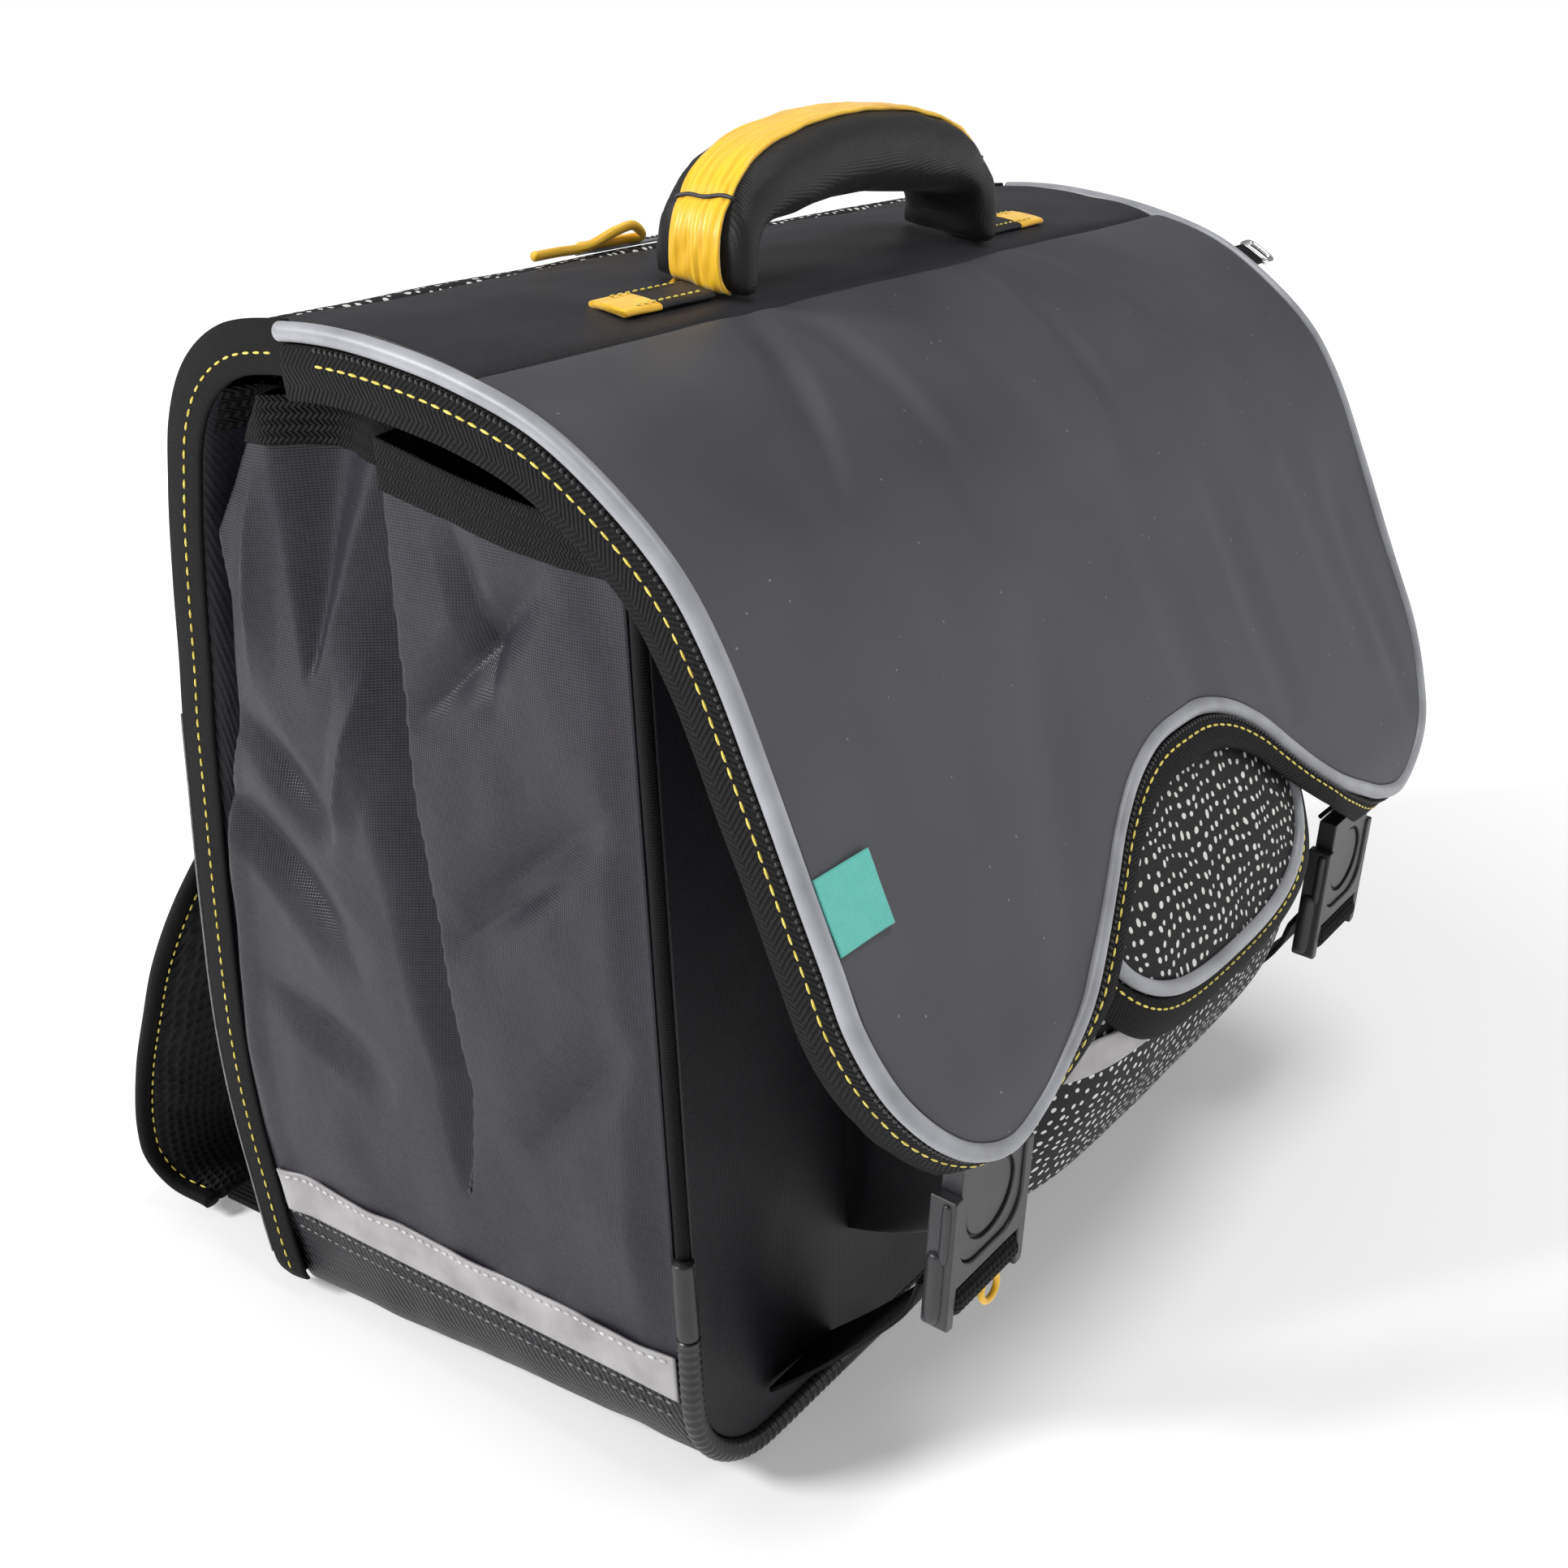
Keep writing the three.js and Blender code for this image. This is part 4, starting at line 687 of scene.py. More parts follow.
def flap():
    inset = bag["piping"] - 0.2
    sideLimit = bag["flapHalf"] - inset
    start = bandSeamAt - seamCross

    def place(u, v):
        distance = lowerFrom + u * (lowerTo - lowerFrom)
        point, along = onCurve(edgeCurve, distance)
        x = point.x + along.y * inset
        x = max(-sideLimit, min(sideLimit, x))
        foot = point.y - along.x * inset
        s = start + (v - 0.5 * math.sin(2 * math.pi * v) / (2 * math.pi)) * (foot - start)
        down = (s - start) / (shell["total"] - start)
        fold = creaseDepth(x, down, flapCreases)
        soft = 0.7 * drift(x, s, 0, 60, 1) + 0.25 * drift(x, 0.5 * s, 0, 22, 8)
        dip = seamDip(s - start - seamCross, 1.9, 1.8) + seamDip(foot - s, 0.5, 2.0)
        return onShell(x, s, soft - fold - dip), (x, s)

    clothSheet("flap_cloth", 230, 130, place, 2.4, finish["flap"], ["flap"])


def edgeCord(name, reach, out, radius, material, start, end, rows, nodes=()):
    def put(a, b, v):
        distance = start + v * (end - start)
        return overEdge(distance, reach + a, out + b), distance

    return loftBody(name, roundSection(radius, 16), rows, put, material, nodes)


flap()
edgeCord("flap_edge_piping", 0, -bag["flapWall"] / 2, bag["piping"], finish["piping"],
         0, edgeCurve["total"], 620, ["flap_piping"])

# Binding of the flap's edge: share of the way to the arch's middle, turn out of square, width
bindingTurn = [(0, 0), (0.58, 0), (0.68, 40), (0.75, 75), (0.79, 90), (1, 90)]
bindingWide = [(0, 16), (0.58, 16), (0.68, 13), (0.75, 9), (0.79, 8), (0.88, 10), (1, 13)]
bindingPlace = {"width": 16, "gap": 0.4, "wall": 1.6, "crown": 0.9, "stitch": 5.2, "rim": 0.9,
                "ends": 14, "steps": 520}


def bindingPoint(distance, reach, lift):
    share = 1 - abs(2 * distance / edgeCurve["total"] - 1)
    turn = math.radians(fromTable(bindingTurn, share))
    out = reach * math.sin(turn) + lift * math.cos(turn)
    depth = -reach * math.cos(turn) + lift * math.sin(turn)
    return overEdge(distance, out, depth - bag["flapWall"] / 2)


def flapBinding():
    near = bag["piping"] + bindingPlace["gap"]
    width = bindingPlace["width"]
    section = tapeSection(width, bindingPlace["wall"], bindingPlace["crown"], across=12)

    def put(a, b, v):
        distance = v * edgeCurve["total"]
        share = 1 - abs(2 * v - 1)
        wide = fromTable(bindingWide, share)
        wave = 0.5 * drift(distance, a, 0, 22, 4) * (a / width + 0.5)
        reach = near + (a / width + 0.5) * wide
        return bindingPoint(distance, reach, b + wave), distance

    loftBody("flap_edge_binding", section, 620, put, finish["binding"], ["flap_binding"])
    ends, steps = bindingPlace["ends"], bindingPlace["steps"]
    span = edgeCurve["total"] - 2 * ends
    lift = bindingPlace["wall"] / 2 + bindingPlace["crown"] * 0.75
    line = []
    for k in range(steps + 1):
        reach = near + bindingPlace["stitch"] * fromTable(bindingWide, 1 - abs(2 * k / steps - 1)) / width
        line.append(bindingPoint(ends + span * k / steps, reach, lift))
    stitchRun("flap_edge_stitches", line, finish["yellowThread"], 3.6, 0.9, 0.5)
    rim = [bindingPoint(ends + span * k / steps, near + bindingPlace["rim"], bindingPlace["wall"] / 2 + 0.5)
           for k in range(steps + 1)]
    stitchRun("flap_edge_loops", rim, finish["blackThread"], 1.3, 0.9, 0.75)


flapBinding()
print("flap, piping and binding made")


# Depth of the back panel's inner face at a height, as a table
insideRows = []
for k in range(0, 160):
    spot = onShell(bag["shellSide"], k * hingeAt / 159, -bag["backPad"] - bag["seat"])
    if not insideRows or spot.z > insideRows[-1][0] + 0.05:
        insideRows.append((spot.z, spot.y))


def backInside(z):
    return fromTable(insideRows, z)


# Side gussets
side = {
    "foot": 40, "backTop": 337, "frontTop": 315, "wall": 1.4, "bulge": 4, "seam": 4.05,
    "topTape": 14, "band": 16,
}
stripFront = frontFace + side["seam"]
# Centre pleat as (height, depth place), and folds as (y0, z0, y1, z1, depth, half width)
pleatLine = [(83, -11), (128, -18), (165, -14), (218, -8), (269, -6), (317, -7), (340, -7)]
pleatDeep = [(83, 0), (100, 4), (150, 10), (220, 14), (280, 17), (340, 14)]
gussetFolds = [
    (46, 322, 62, 240, -5, 11), (-70, 302, -10, 246, 7, 12),
    (-88, 236, -22, 190, 6, 15), (-32, 318, -46, 252, 4, 10), (88, 214, 24, 150, 8, 16),
    (84, 140, 16, 112, 5, 14), (70, 240, 28, 196, 5, 11), (-90, 168, -40, 112, 5, 15),
    (12, 262, 34, 190, -4, 9), (-14, 176, -70, 214, 4, 11),
]
valley = {"top": 340, "foot": 252, "from": 18, "lean": 16, "wide": 21, "deep": 15, "edge": -8}
# Gap between the rear fold and the back panel: (height, depth)
rearGap = [(40, 0), (110, 1.5), (150, 6), (220, 13), (300, 17), (340, 14)]
rearFold = [
    (40, 94), (118, 92), (167, 87), (198, 82), (229, 71), (273, 66), (295, 67), (324, 48), (337, 40),
]


def gussetTop(t):
    return side["frontTop"] + smooth(t / 0.85) * (side["backTop"] - side["frontTop"])


def foldDepth(y, z):  # the valley under the tape, open at its top, and the folds
    drop = min(1.0, max(0.0, (valley["top"] - z) / (valley["top"] - valley["foot"])))
    reach = abs(y - valley["from"] - drop * valley["lean"]) / (valley["wide"] * (1 - drop) + 3)
    depth = valley["deep"] * (1 - drop) ** 0.7 * (1 - smooth(reach)) * smooth((y - valley["edge"]) / 4)
    for y0, z0, y1, z1, deep, wide in gussetFolds:
        along = Vector((y1 - y0, z1 - z0))
        spot = Vector((y - y0, z - z0))
        t = spot.dot(along) / along.length_squared
        if 0 < t < 1:
            away = abs(spot.x * along.y - spot.y * along.x) / along.length / wide
            if away < 1:
                depth += deep * (1 - away) ** 1.5 * math.sin(math.pi * t) ** 1.2
    return depth


def gussetPoint(sign, t, z, out=0.0):
    y = stripFront + t * (backInside(z) - stripFront)
    top = gussetTop(t)
    high = (z - side["foot"]) / (top - side["foot"])
    fade = smooth(t / 0.08) * smooth((1 - t) / 0.05)
    off = y - fromTable(pleatLine, z)
    deep = fromTable(pleatDeep, z)
    pleat = deep * smooth((off + 1.6) / 1.6) * (1 - smooth(off / (1.7 * deep + 4)))
    ridge = fromTable(rearFold, z)
    gap = fromTable(rearGap, z) * smooth((y - ridge) / 5)
    bulge = side["bulge"] * math.sin(math.pi * min(1.0, max(0.0, high * 1.1))) ** 0.7
    lively = smooth((z - side["foot"]) / 30)
    slack = 2.2 * drift(y, 0.6 * z, 0, 36, 7 * sign) + 0.5 * drift(y, 0.7 * z, 0, 15, 3 * sign)
    flare = (bag["shellSide"] - halfWidth) * smooth((t - 0.9) / 0.06)
    shape = bulge * (1 - 0.4 * high) - pleat - gap - (foldDepth(y, z) - slack) * lively
    return Vector((sign * (halfWidth + flare + fade * shape + out), y, z)), (y, z)


def gussets(word, sign):

    def place(u, v):
        z = side["foot"] + v * (gussetTop(u) - side["foot"])
        return gussetPoint(sign, u, z)

    clothSheet(f"gusset_cloth_{word}", 170, 150, place, side["wall"], finish["gusset"],
               [f"gusset_{word}"])

    def tapePlace(u, v):
        t = 0.98 * u
        top = gussetTop(t) + 1.2
        z = top - side["topTape"] * (1 - v)
        held = min(z, gussetTop(t))
        point, cloth = gussetPoint(sign, t, held, 1.3)
        point.z = z
        return point, (z - top, point.y)

    clothSheet(f"gusset_tape_{word}", 150, 10, tapePlace, 1.1, finish["topTape"],
               [f"gusset_top_tape_{word}"])

    def bandPlace(u, v):
        t = 0.005 + 0.96 * u
        wave = 2.4 * drift(t * 190, 0, 0, 30, 6 * sign)
        z = side["foot"] - 0.6 + v * (side["band"] + 0.6 + wave)
        point = gussetPoint(sign, t, z, 1.4 + 1.6 * drift(t * 190, z, 0, 20, 2 * sign) * v)[0]
        return point, (point.y, z)

    clothSheet(f"side_band_{word}", 150, 10, bandPlace, 0.9, finish["tape"],
               [f"side_reflective_{word}"])
    line = []
    for k in range(160):
        u = 0.01 + 0.98 * k / 159
        line.append(bandPlace(u, 0.88)[0] + Vector((sign * 0.2, 0, 0)))
    stitchRun(f"side_band_stitches_{word}", line, finish["whiteThread"], 2.8, 1.2, 0.5)
    dart = []
    for k in range(10):
        z = 84 + 2.6 * k
        y = fromTable(pleatLine, z)
        t = (y - stripFront) / (backInside(z) - stripFront)
        dart.append(gussetPoint(sign, t, z, 0.25)[0])
    stitchRun(f"gusset_dart_{word}", dart, finish["blackThread"], 2.2, 0.5, 0.7)


for word, sign in bothSides:
    gussets(word, sign)
print("gussets made")


# Base strip: under the bag and up both sides
baseStrip = {"wall": 1.6, "stitches": (3.0, 8.0)}


def baseCorner(v):  # tighter at the back
    return bag["corner"] + v * (bag["backCorner"] - bag["corner"])


def baseLength(v):
    return halfWidth + side["foot"] - bag["seat"] + (math.pi / 2 - 2) * baseCorner(v)


def basePoint(distance, v, out=0.0):  # distance from the middle of the base outwards
    corner = baseCorner(v)
    flat = halfWidth - corner
    turn = min(math.pi / 2, max(0.0, (abs(distance) - flat) / corner))
    x = min(abs(distance), flat) + (corner + out) * math.sin(turn)
    over = max(0.0, abs(distance) - flat - corner * math.pi / 2)
    z = corner - (corner + out) * math.cos(turn) + over
    back = backInside(max(z, bag["backFoot"])) - 0.6
    return Vector((math.copysign(x, distance), stripFront + v * (back - stripFront), max(0.0, z)))


def baseCloth():
    def place(u, v):
        distance = (2 * u - 1) * baseLength(v)
        rest = baseLength(v) - abs(distance)
        loose = smooth((46 - rest) / 20)
        dip = seamDip(rest, 0.7, 1.4)
        way = 190 * v
        slack = drift(distance, way, 0, 40, 3) + 0.5 * drift(distance, way, 0, 15, 8)
        return basePoint(distance, v, slack * loose - dip), (distance, way)

    clothSheet("base_cloth", 300, 60, place, baseStrip["wall"], finish["base"], ["base_panel"])
    for word, sign in bothSides:
        for k, inset in enumerate(baseStrip["stitches"]):
            line = [basePoint(sign * (baseLength(v / 62) - inset), v / 62, 0.6) for v in range(1, 62)]
            stitchRun(f"base_stitches_{k}_{word}", line, finish["greyThread"], 2.6, 1.2, 0.4)


baseCloth()


# Binding along the side edges of the back, with its stitches and a light edge thread
backBinding = {"width": 16.0, "rim": 1.5, "wall": 1.6, "crown": 0.6, "steps": 170}


def backEdge(word, sign):
    near = bag["shellSide"] + bag["seat"] + backBinding["wall"] / 2
    centre = backBinding["rim"] - backBinding["width"] / 2

    def spot(s, a, b):
        wave = 0.35 * drift(s, 0, 0, 30, 5 * sign)
        point = onShell(near, s, centre + a)
        low = max(0.0, bag["backCorner"] - point.z)
        turned = bag["backCorner"] - math.sqrt(max(0.0, bag["backCorner"] ** 2 - low ** 2))
        return Vector((sign * (near + b + wave - turned), point.y, point.z))

    def put(a, b, v):
        s = v * (hingeAt - 0.5)
        return spot(s, a, b), s

    section = tapeSection(backBinding["width"], backBinding["wall"], backBinding["crown"], 10)
    loftBody(f"back_edge_{word}", section, backBinding["steps"], put, finish["edgeTape"],
             [f"back_binding_{word}"])
    lift = backBinding["wall"] / 2 + backBinding["crown"] + 0.1
    line = [spot(3 + k * (hingeAt - 8) / 200, -1.5, lift) for k in range(201)]
    stitchRun(f"back_edge_stitches_{word}", line, finish["yellowThread"], 3.2, 1.6, 0.42)
    thread = [spot(10 + k * 5, backBinding["width"] / 2 - 0.5, 0.9) for k in range(44)]
    cordAlong(f"back_edge_thread_{word}", thread, 0.45, 6, 130, finish["greyThread"], ())


for word, sign in bothSides:
    backEdge(word, sign)


# Front panel, its corner tubes, sleeves and piping
front = {"top": 311, "tube": 3.75, "sleeve": 3.7, "tubeTop": 93.7, "sleeveLength": 28,
         "baseReach": 117, "baseSleeve": 29, "piping": 2.2, "ribPitch": 3.1, "ribHeight": 0.09}
tubeMiddle = front["tube"] + 2 * bag["seat"] + bag["corner"]


def frontPanel():
    foot = tubeMiddle - bag["corner"] + side["seam"]
    radius = bag["corner"] - side["seam"]

    def place(u, v):
        z = foot + v ** 1.3 * (front["top"] - foot)
        below = max(0.0, foot + radius - z)
        half = halfWidth - bag["corner"] + math.sqrt(max(0.0, radius ** 2 - below ** 2))
        x = (2 * closeEnds(u) - 1) * half
        edge = min(half - abs(x), (z - foot) * 0.9)
        slack = 2.6 * drift(x, 0.7 * z, 0, 50, 4) + 0.9 * drift(x, z, 0, 22, 6)
        belly = 1.8 * smooth(edge / 40) + slack * smooth(edge / 16)
        return Vector((x, frontFace - max(-1.0, belly) * 0.6, z)), (x, z)

    clothSheet("front_cloth", 140, 110, place, 1.6, finish["front"], ["front_panel"])


def ribs(distance, total):  # ribbed tube, plain at both ends
    ends = smooth(distance / 3) * smooth((total - distance) / 3)
    rib = 0.5 - 0.5 * math.cos(2 * math.pi * distance / front["ribPitch"])
    return 1 - front["ribHeight"] * ends * rib


def roundedEnds(reach, drop):
    return lambda distance, total: 1 - drop * (
        math.exp(-distance / reach) + math.exp(-(total - distance) / reach))


def frontCorner(word, sign):
    sleeveFoot = front["tubeTop"] - front["sleeveLength"]
    foot = tubeMiddle - bag["corner"]
    bend = [(sign * halfWidth, frontFace, sleeveFoot - 0.3)]
    for k in range(13):
        turn = k / 12 * math.pi / 2
        bend.append((sign * (halfWidth - bag["corner"] + bag["corner"] * math.cos(turn)), frontFace,
                     tubeMiddle - bag["corner"] * math.sin(turn)))
    bend.append((sign * (front["baseReach"] + 0.3), frontFace, foot))
    cordAlong(f"corner_guard_{word}", bend, front["tube"], 20, 460, finish["tube"],
              [f"corner_tube_{word}"], ribs)
    upright = [(sign * halfWidth, frontFace, z) for z in (sleeveFoot, sleeveFoot + 17, front["tubeTop"])]
    cordAlong(f"upright_sleeve_{word}", upright, front["sleeve"], 20, 60, finish["tube"],
              [f"side_sleeve_{word}"], roundedEnds(0.8, 0.12))
    level = [(sign * (front["baseReach"] - k * front["baseSleeve"] / 2), frontFace, foot)
             for k in range(3)]
    cordAlong(f"level_sleeve_{word}", level, front["sleeve"], 20, 60, finish["tube"],
              [f"base_sleeve_{word}"], roundedEnds(0.8, 0.12))
    inset = front["tube"] - front["piping"] - bag["seat"]
    heights = [front["tubeTop"] + 0.3 + k * (front["top"] - front["tubeTop"]) / 12 for k in range(13)]
    cord = [(sign * (halfWidth - inset), frontFace + inset + 0.3 * drift(z, 0, 0, 40, 2), z)
            for z in heights]
    cordAlong(f"front_cord_{word}", cord, front["piping"], 12, 120, finish["edgeTape"],
              [f"front_piping_{word}"])


frontPanel()
for word, sign in bothSides:
    frontCorner(word, sign)
print("base, back edges and front made")


# Front pocket
pocket = {"half": 108, "foot": 56, "top": 203, "depth": 81, "bow": 4.5, "wall": 1.6,
          "stripFoot": 128, "strip": 12}
pocketOutline = [
    (0, 0), (0.02, 0.32), (0.06, 0.56), (0.12, 0.7), (0.2, 0.8), (0.32, 0.905), (0.45, 0.97),
    (0.57, 1), (0.68, 0.95), (0.83, 0.84), (1, 0.705),
]
pocketTall = pocket["top"] - pocket["foot"]
pocketCurve = smoothCurve([
    Vector((pocket["depth"] * out, pocket["foot"] + up * pocketTall, 0)) for up, out in pocketOutline
])
pocketRows = [(p.y, length) for p, length in zip(pocketCurve["line"], pocketCurve["lengths"])]
wallFront = frontFace - bag["seat"]


def pocketAcross(x):
    a = min(1.0, abs(x) / pocket["half"])
    return (1 - a ** pocket["bow"]) ** (1 / pocket["bow"])


def overPocket(x, z, out=0.0):  # a point out of the pocket's front at a height
    length = fromTable(pocketRows, min(z, pocket["top"] - 1))
    spot, along = onCurve(pocketCurve, length)
    across = pocketAcross(x)
    way = Vector((0, -along.x * across, along.y)).normalized()
    point = Vector((x, wallFront - spot.x * across, spot.y))
    if z > pocket["top"] - 1:
        point += way * (z - pocket["top"] + 1)
    return point + Vector((0, -way.z, way.y)) * out


def acrossLength(x, depth):  # distance over the bowed front from the pocket's middle
    steps = 24
    total, last = 0.0, depth
    for k in range(1, steps + 1):
        now = depth * pocketAcross(x * k / steps)
        total += math.hypot(x / steps, now - last)
        last = now
    return math.copysign(total, x)


def pocketBody():
    def place(u, v):
        a = math.sin((closeEnds(u, 0.3) - 0.5) * math.pi)
        x = a * pocket["half"]
        length = v * pocketCurve["total"]
        spot, along = onCurve(pocketCurve, length)
        across = pocketAcross(x)
        way = Vector((0, -along.x * across, along.y)).normalized()
        slack = 1.3 * drift(x, length, 0, 34, 8) * across * math.sin(math.pi * v) - 0.8 * (v > 0.99)
        point = Vector((x, wallFront - spot.x * across, spot.y))
        return point + Vector((0, -way.z, way.y)) * slack, (acrossLength(x, spot.x), length)

    cloths = [finish["dots"], finish["front"]]
    body = clothSheet("pocket_cloth", 150, 120, place, pocket["wall"], cloths, ["pocket_body"])
    for face in body.data.polygons:
        face.material_index = 1 if abs(face.center.x) > 0.93 * pocket["half"] * mm else 0

    def stripPlace(u, v):
        x = (2 * u - 1) * 0.985 * pocket["half"]
        z = pocket["stripFoot"] + pocket["strip"] * v
        return overPocket(x, z, 2.0 + 0.2 * drift(x, z, 0, 20, 3)), (x, z)

    clothSheet("pocket_band", 110, 10, stripPlace, 0.8, finish["tape"], ["pocket_strip"])


pocketBody()

# Pocket lid, its piping and tape
lid = {"half": 71, "foot": 141, "corner": 36, "power": 2.6, "wall": 1.8, "lift": 2.3, "hinge": 240,
       "forward": 6, "up": 9, "hang": 0.55, "piping": 2.3, "tape": 13, "stitch": 3.4}


def lidFootAt(a):
    drop = (1 - min(1.0, abs(a)) ** lid["power"]) ** (1 / lid["power"])
    return lid["foot"] + lid["corner"] * (1 - drop)


def pocketLid():
    mouth = pocket["top"] - 1

    def place(u, v):
        a = math.sin((u - 0.5) * math.pi)
        x, foot = a * lid["half"], lidFootAt(a)
        out = lid["lift"] + lid["wall"]
        puff = 1.2 * (1 - a * a) * smooth((v - 0.4) / 0.3) * smooth((1 - v) / 0.15)
        if v >= lid["hang"]:
            z = mouth + (v - lid["hang"]) / (1 - lid["hang"]) * (foot - mouth)
            return overPocket(x, z, out + puff), (x, z)
        start = overPocket(x, mouth, out + puff)
        end = Vector((x, wallFront, lid["hinge"] + out))
        bend = (start + end) / 2 + Vector((0, -lid["forward"], lid["up"] + out))
        k = v / lid["hang"]
        point = end * (1 - k) ** 2 + bend * (2 * k * (1 - k)) + start * k * k
        return point, (x, mouth + (1 - k) * 100)

    clothSheet("lid_cloth", 90, 90, place, lid["wall"], finish["dots"], ["pocket_lid"])

    corners = [Vector((-lid["half"], lid["foot"] + lid["corner"] + r, 0)) for r in (22, 11)]
    for k in range(-10, 11):
        a = math.sin(k / 10 * math.pi / 2)
        corners.append(Vector((a * lid["half"], lidFootAt(a), 0)))
    corners += [Vector((lid["half"], lid["foot"] + lid["corner"] + r, 0)) for r in (11, 22)]
    rim = smoothCurve(corners)

    def beyond(distance, reach, out):
        point, along = onCurve(rim, distance)
        return overPocket(point.x + along.y * reach, point.y - along.x * reach, out)

    def cordPut(a, b, v):
        distance = v * rim["total"]
        return beyond(distance, lid["piping"] + a, lid["lift"] + lid["piping"] + b), distance

    loftBody("lid_edge_piping", roundSection(lid["piping"], 16), 200, cordPut, finish["piping"],
             ["lid_piping"])
    near = 2 * lid["piping"] + 0.2

    def tapePut(a, b, v):
        distance = v * rim["total"]
        return beyond(distance, near + lid["tape"] / 2 + a, lid["lift"] + lid["wall"] / 2 + b), distance

    loftBody("lid_edge_tape", tapeSection(lid["tape"], lid["wall"], 0.6, 10), 200, tapePut,
             finish["edgeTape"], ["lid_tape"])
    line = []
    for k in range(201):
        distance = 4 + (rim["total"] - 8) * k / 200
        line.append(beyond(distance, near + lid["stitch"], lid["lift"] + lid["wall"] + 0.6))
    stitchRun("lid_edge_stitches", line, finish["yellowThread"], 3.2, 1.1, 0.45)


pocketLid()
print("pocket made")


# Buckles
buckle = {"spacing": 272, "reach": 70, "top": 136, "width": 44, "rail": 4.0, "tongue": 39,
          "tongueDepth": 7, "corner": 11, "dial": 13.5, "dialHeight": 17.5, "roll": 6,
          "webbing": 36, "wall": 1.8, "lean": 5, "strapFoot": 20, "hanger": 26, "setback": 2,
          "bridge": 5, "dialDepth": 1.8, "dialRing": 1.1, "button": 1.0}
tongueFoot = buckle["top"] - buckle["tongue"]
buckleMiddle = tongueFoot + buckle["dialHeight"]
lean = math.radians(buckle["lean"])
slotWidth = buckle["width"] - 2 * buckle["rail"]
rollMiddle = tongueFoot - 2 * bag["seat"] - buckle["bridge"] - buckle["roll"]
rollDepth = frontFace - buckle["reach"] + (buckleMiddle - rollMiddle) * math.tan(lean)


def setBuckle(bm, sign):
    place = Matrix.Translation((sign * buckle["spacing"] / 2, frontFace - buckle["reach"], buckleMiddle))
    bmesh.ops.transform(bm, matrix=Matrix.Scale(mm, 4) @ place @ Matrix.Rotation(lean, 4, "X"),
                        verts=bm.verts[:])


def roundEdges(piece, width, segments=3):
    bevel = piece.modifiers.new("edges", "BEVEL")
    bevel.width = width * mm
    bevel.segments = segments
    bevel.profile = 0.5
    bevel.limit_method = "ANGLE"
    bevel.angle_limit = math.radians(35)
    bevel.harden_normals = False


def tonguePlate(word, sign):
    half = slotWidth / 2 - bag["seat"]
    low, high = -buckle["dialHeight"], buckle["tongue"] - buckle["dialHeight"]
    corner, depth = buckle["corner"], buckle["tongueDepth"]
    rim = [(half, high), (-half, high)]
    for centre, start in ((-half + corner, 180), (half - corner, 270)):
        for k in range(9):
            turn = math.radians(start + 90 * k / 8)
            rim.append((centre + corner * math.cos(turn), low + corner + corner * math.sin(turn)))
    bm = bmesh.new()
    outer = [bm.verts.new((x, -depth / 2, z)) for x, z in rim]
    outerEdges = [bm.edges.new((a, b)) for a, b in zip(outer, outer[1:] + outer[:1])]
    upright = Matrix.Translation((0, -depth / 2, 0)) @ Matrix.Rotation(math.pi / 2, 4, "X")
    dial = bmesh.ops.create_circle(bm, segments=40, radius=buckle["dial"], matrix=upright)
    dialEdges = list({e for v in dial["verts"] for e in v.link_edges})
    bmesh.ops.triangle_fill(bm, use_beauty=True, edges=outerEdges + dialEdges)
    for face in [f for f in bm.faces if all(v in dial["verts"] for v in f.verts)]:
        bm.faces.remove(face)
    back = bmesh.ops.extrude_edge_only(bm, edges=outerEdges)["geom"]
    moved = [g for g in back if isinstance(g, bmesh.types.BMVert)]
    bmesh.ops.translate(bm, vec=(0, depth, 0), verts=moved)
    bmesh.ops.contextual_create(bm, geom=[g for g in back if isinstance(g, bmesh.types.BMEdge)])
    wall = bmesh.ops.extrude_edge_only(bm, edges=dialEdges)["geom"]
    moved = [g for g in wall if isinstance(g, bmesh.types.BMVert)]
    bmesh.ops.translate(bm, vec=(0, buckle["dialDepth"], 0), verts=moved)
    floor = bmesh.ops.contextual_create(bm, geom=[g for g in wall if isinstance(g, bmesh.types.BMEdge)])
    bmesh.ops.inset_region(bm, faces=floor["faces"], thickness=buckle["dialRing"], depth=0.0)
    button = [f for f in floor["faces"] if f.is_valid]
    top = bmesh.ops.extrude_face_region(bm, geom=button)["geom"]
    moved = [g for g in top if isinstance(g, bmesh.types.BMVert)]
    bmesh.ops.translate(bm, vec=(0, -buckle["button"], 0), verts=moved)
    bmesh.ops.delete(bm, geom=button, context="FACES_ONLY")
    bmesh.ops.remove_doubles(bm, verts=bm.verts[:], dist=0.001)
    bmesh.ops.recalc_face_normals(bm, faces=bm.faces[:])
    setBuckle(bm, sign)
    piece = finishPiece(f"buckle_plate_{word}", bm, finish["plastic"], [f"buckle_tongue_{word}"],
                        smooth=False)
    roundEdges(piece, 0.5)


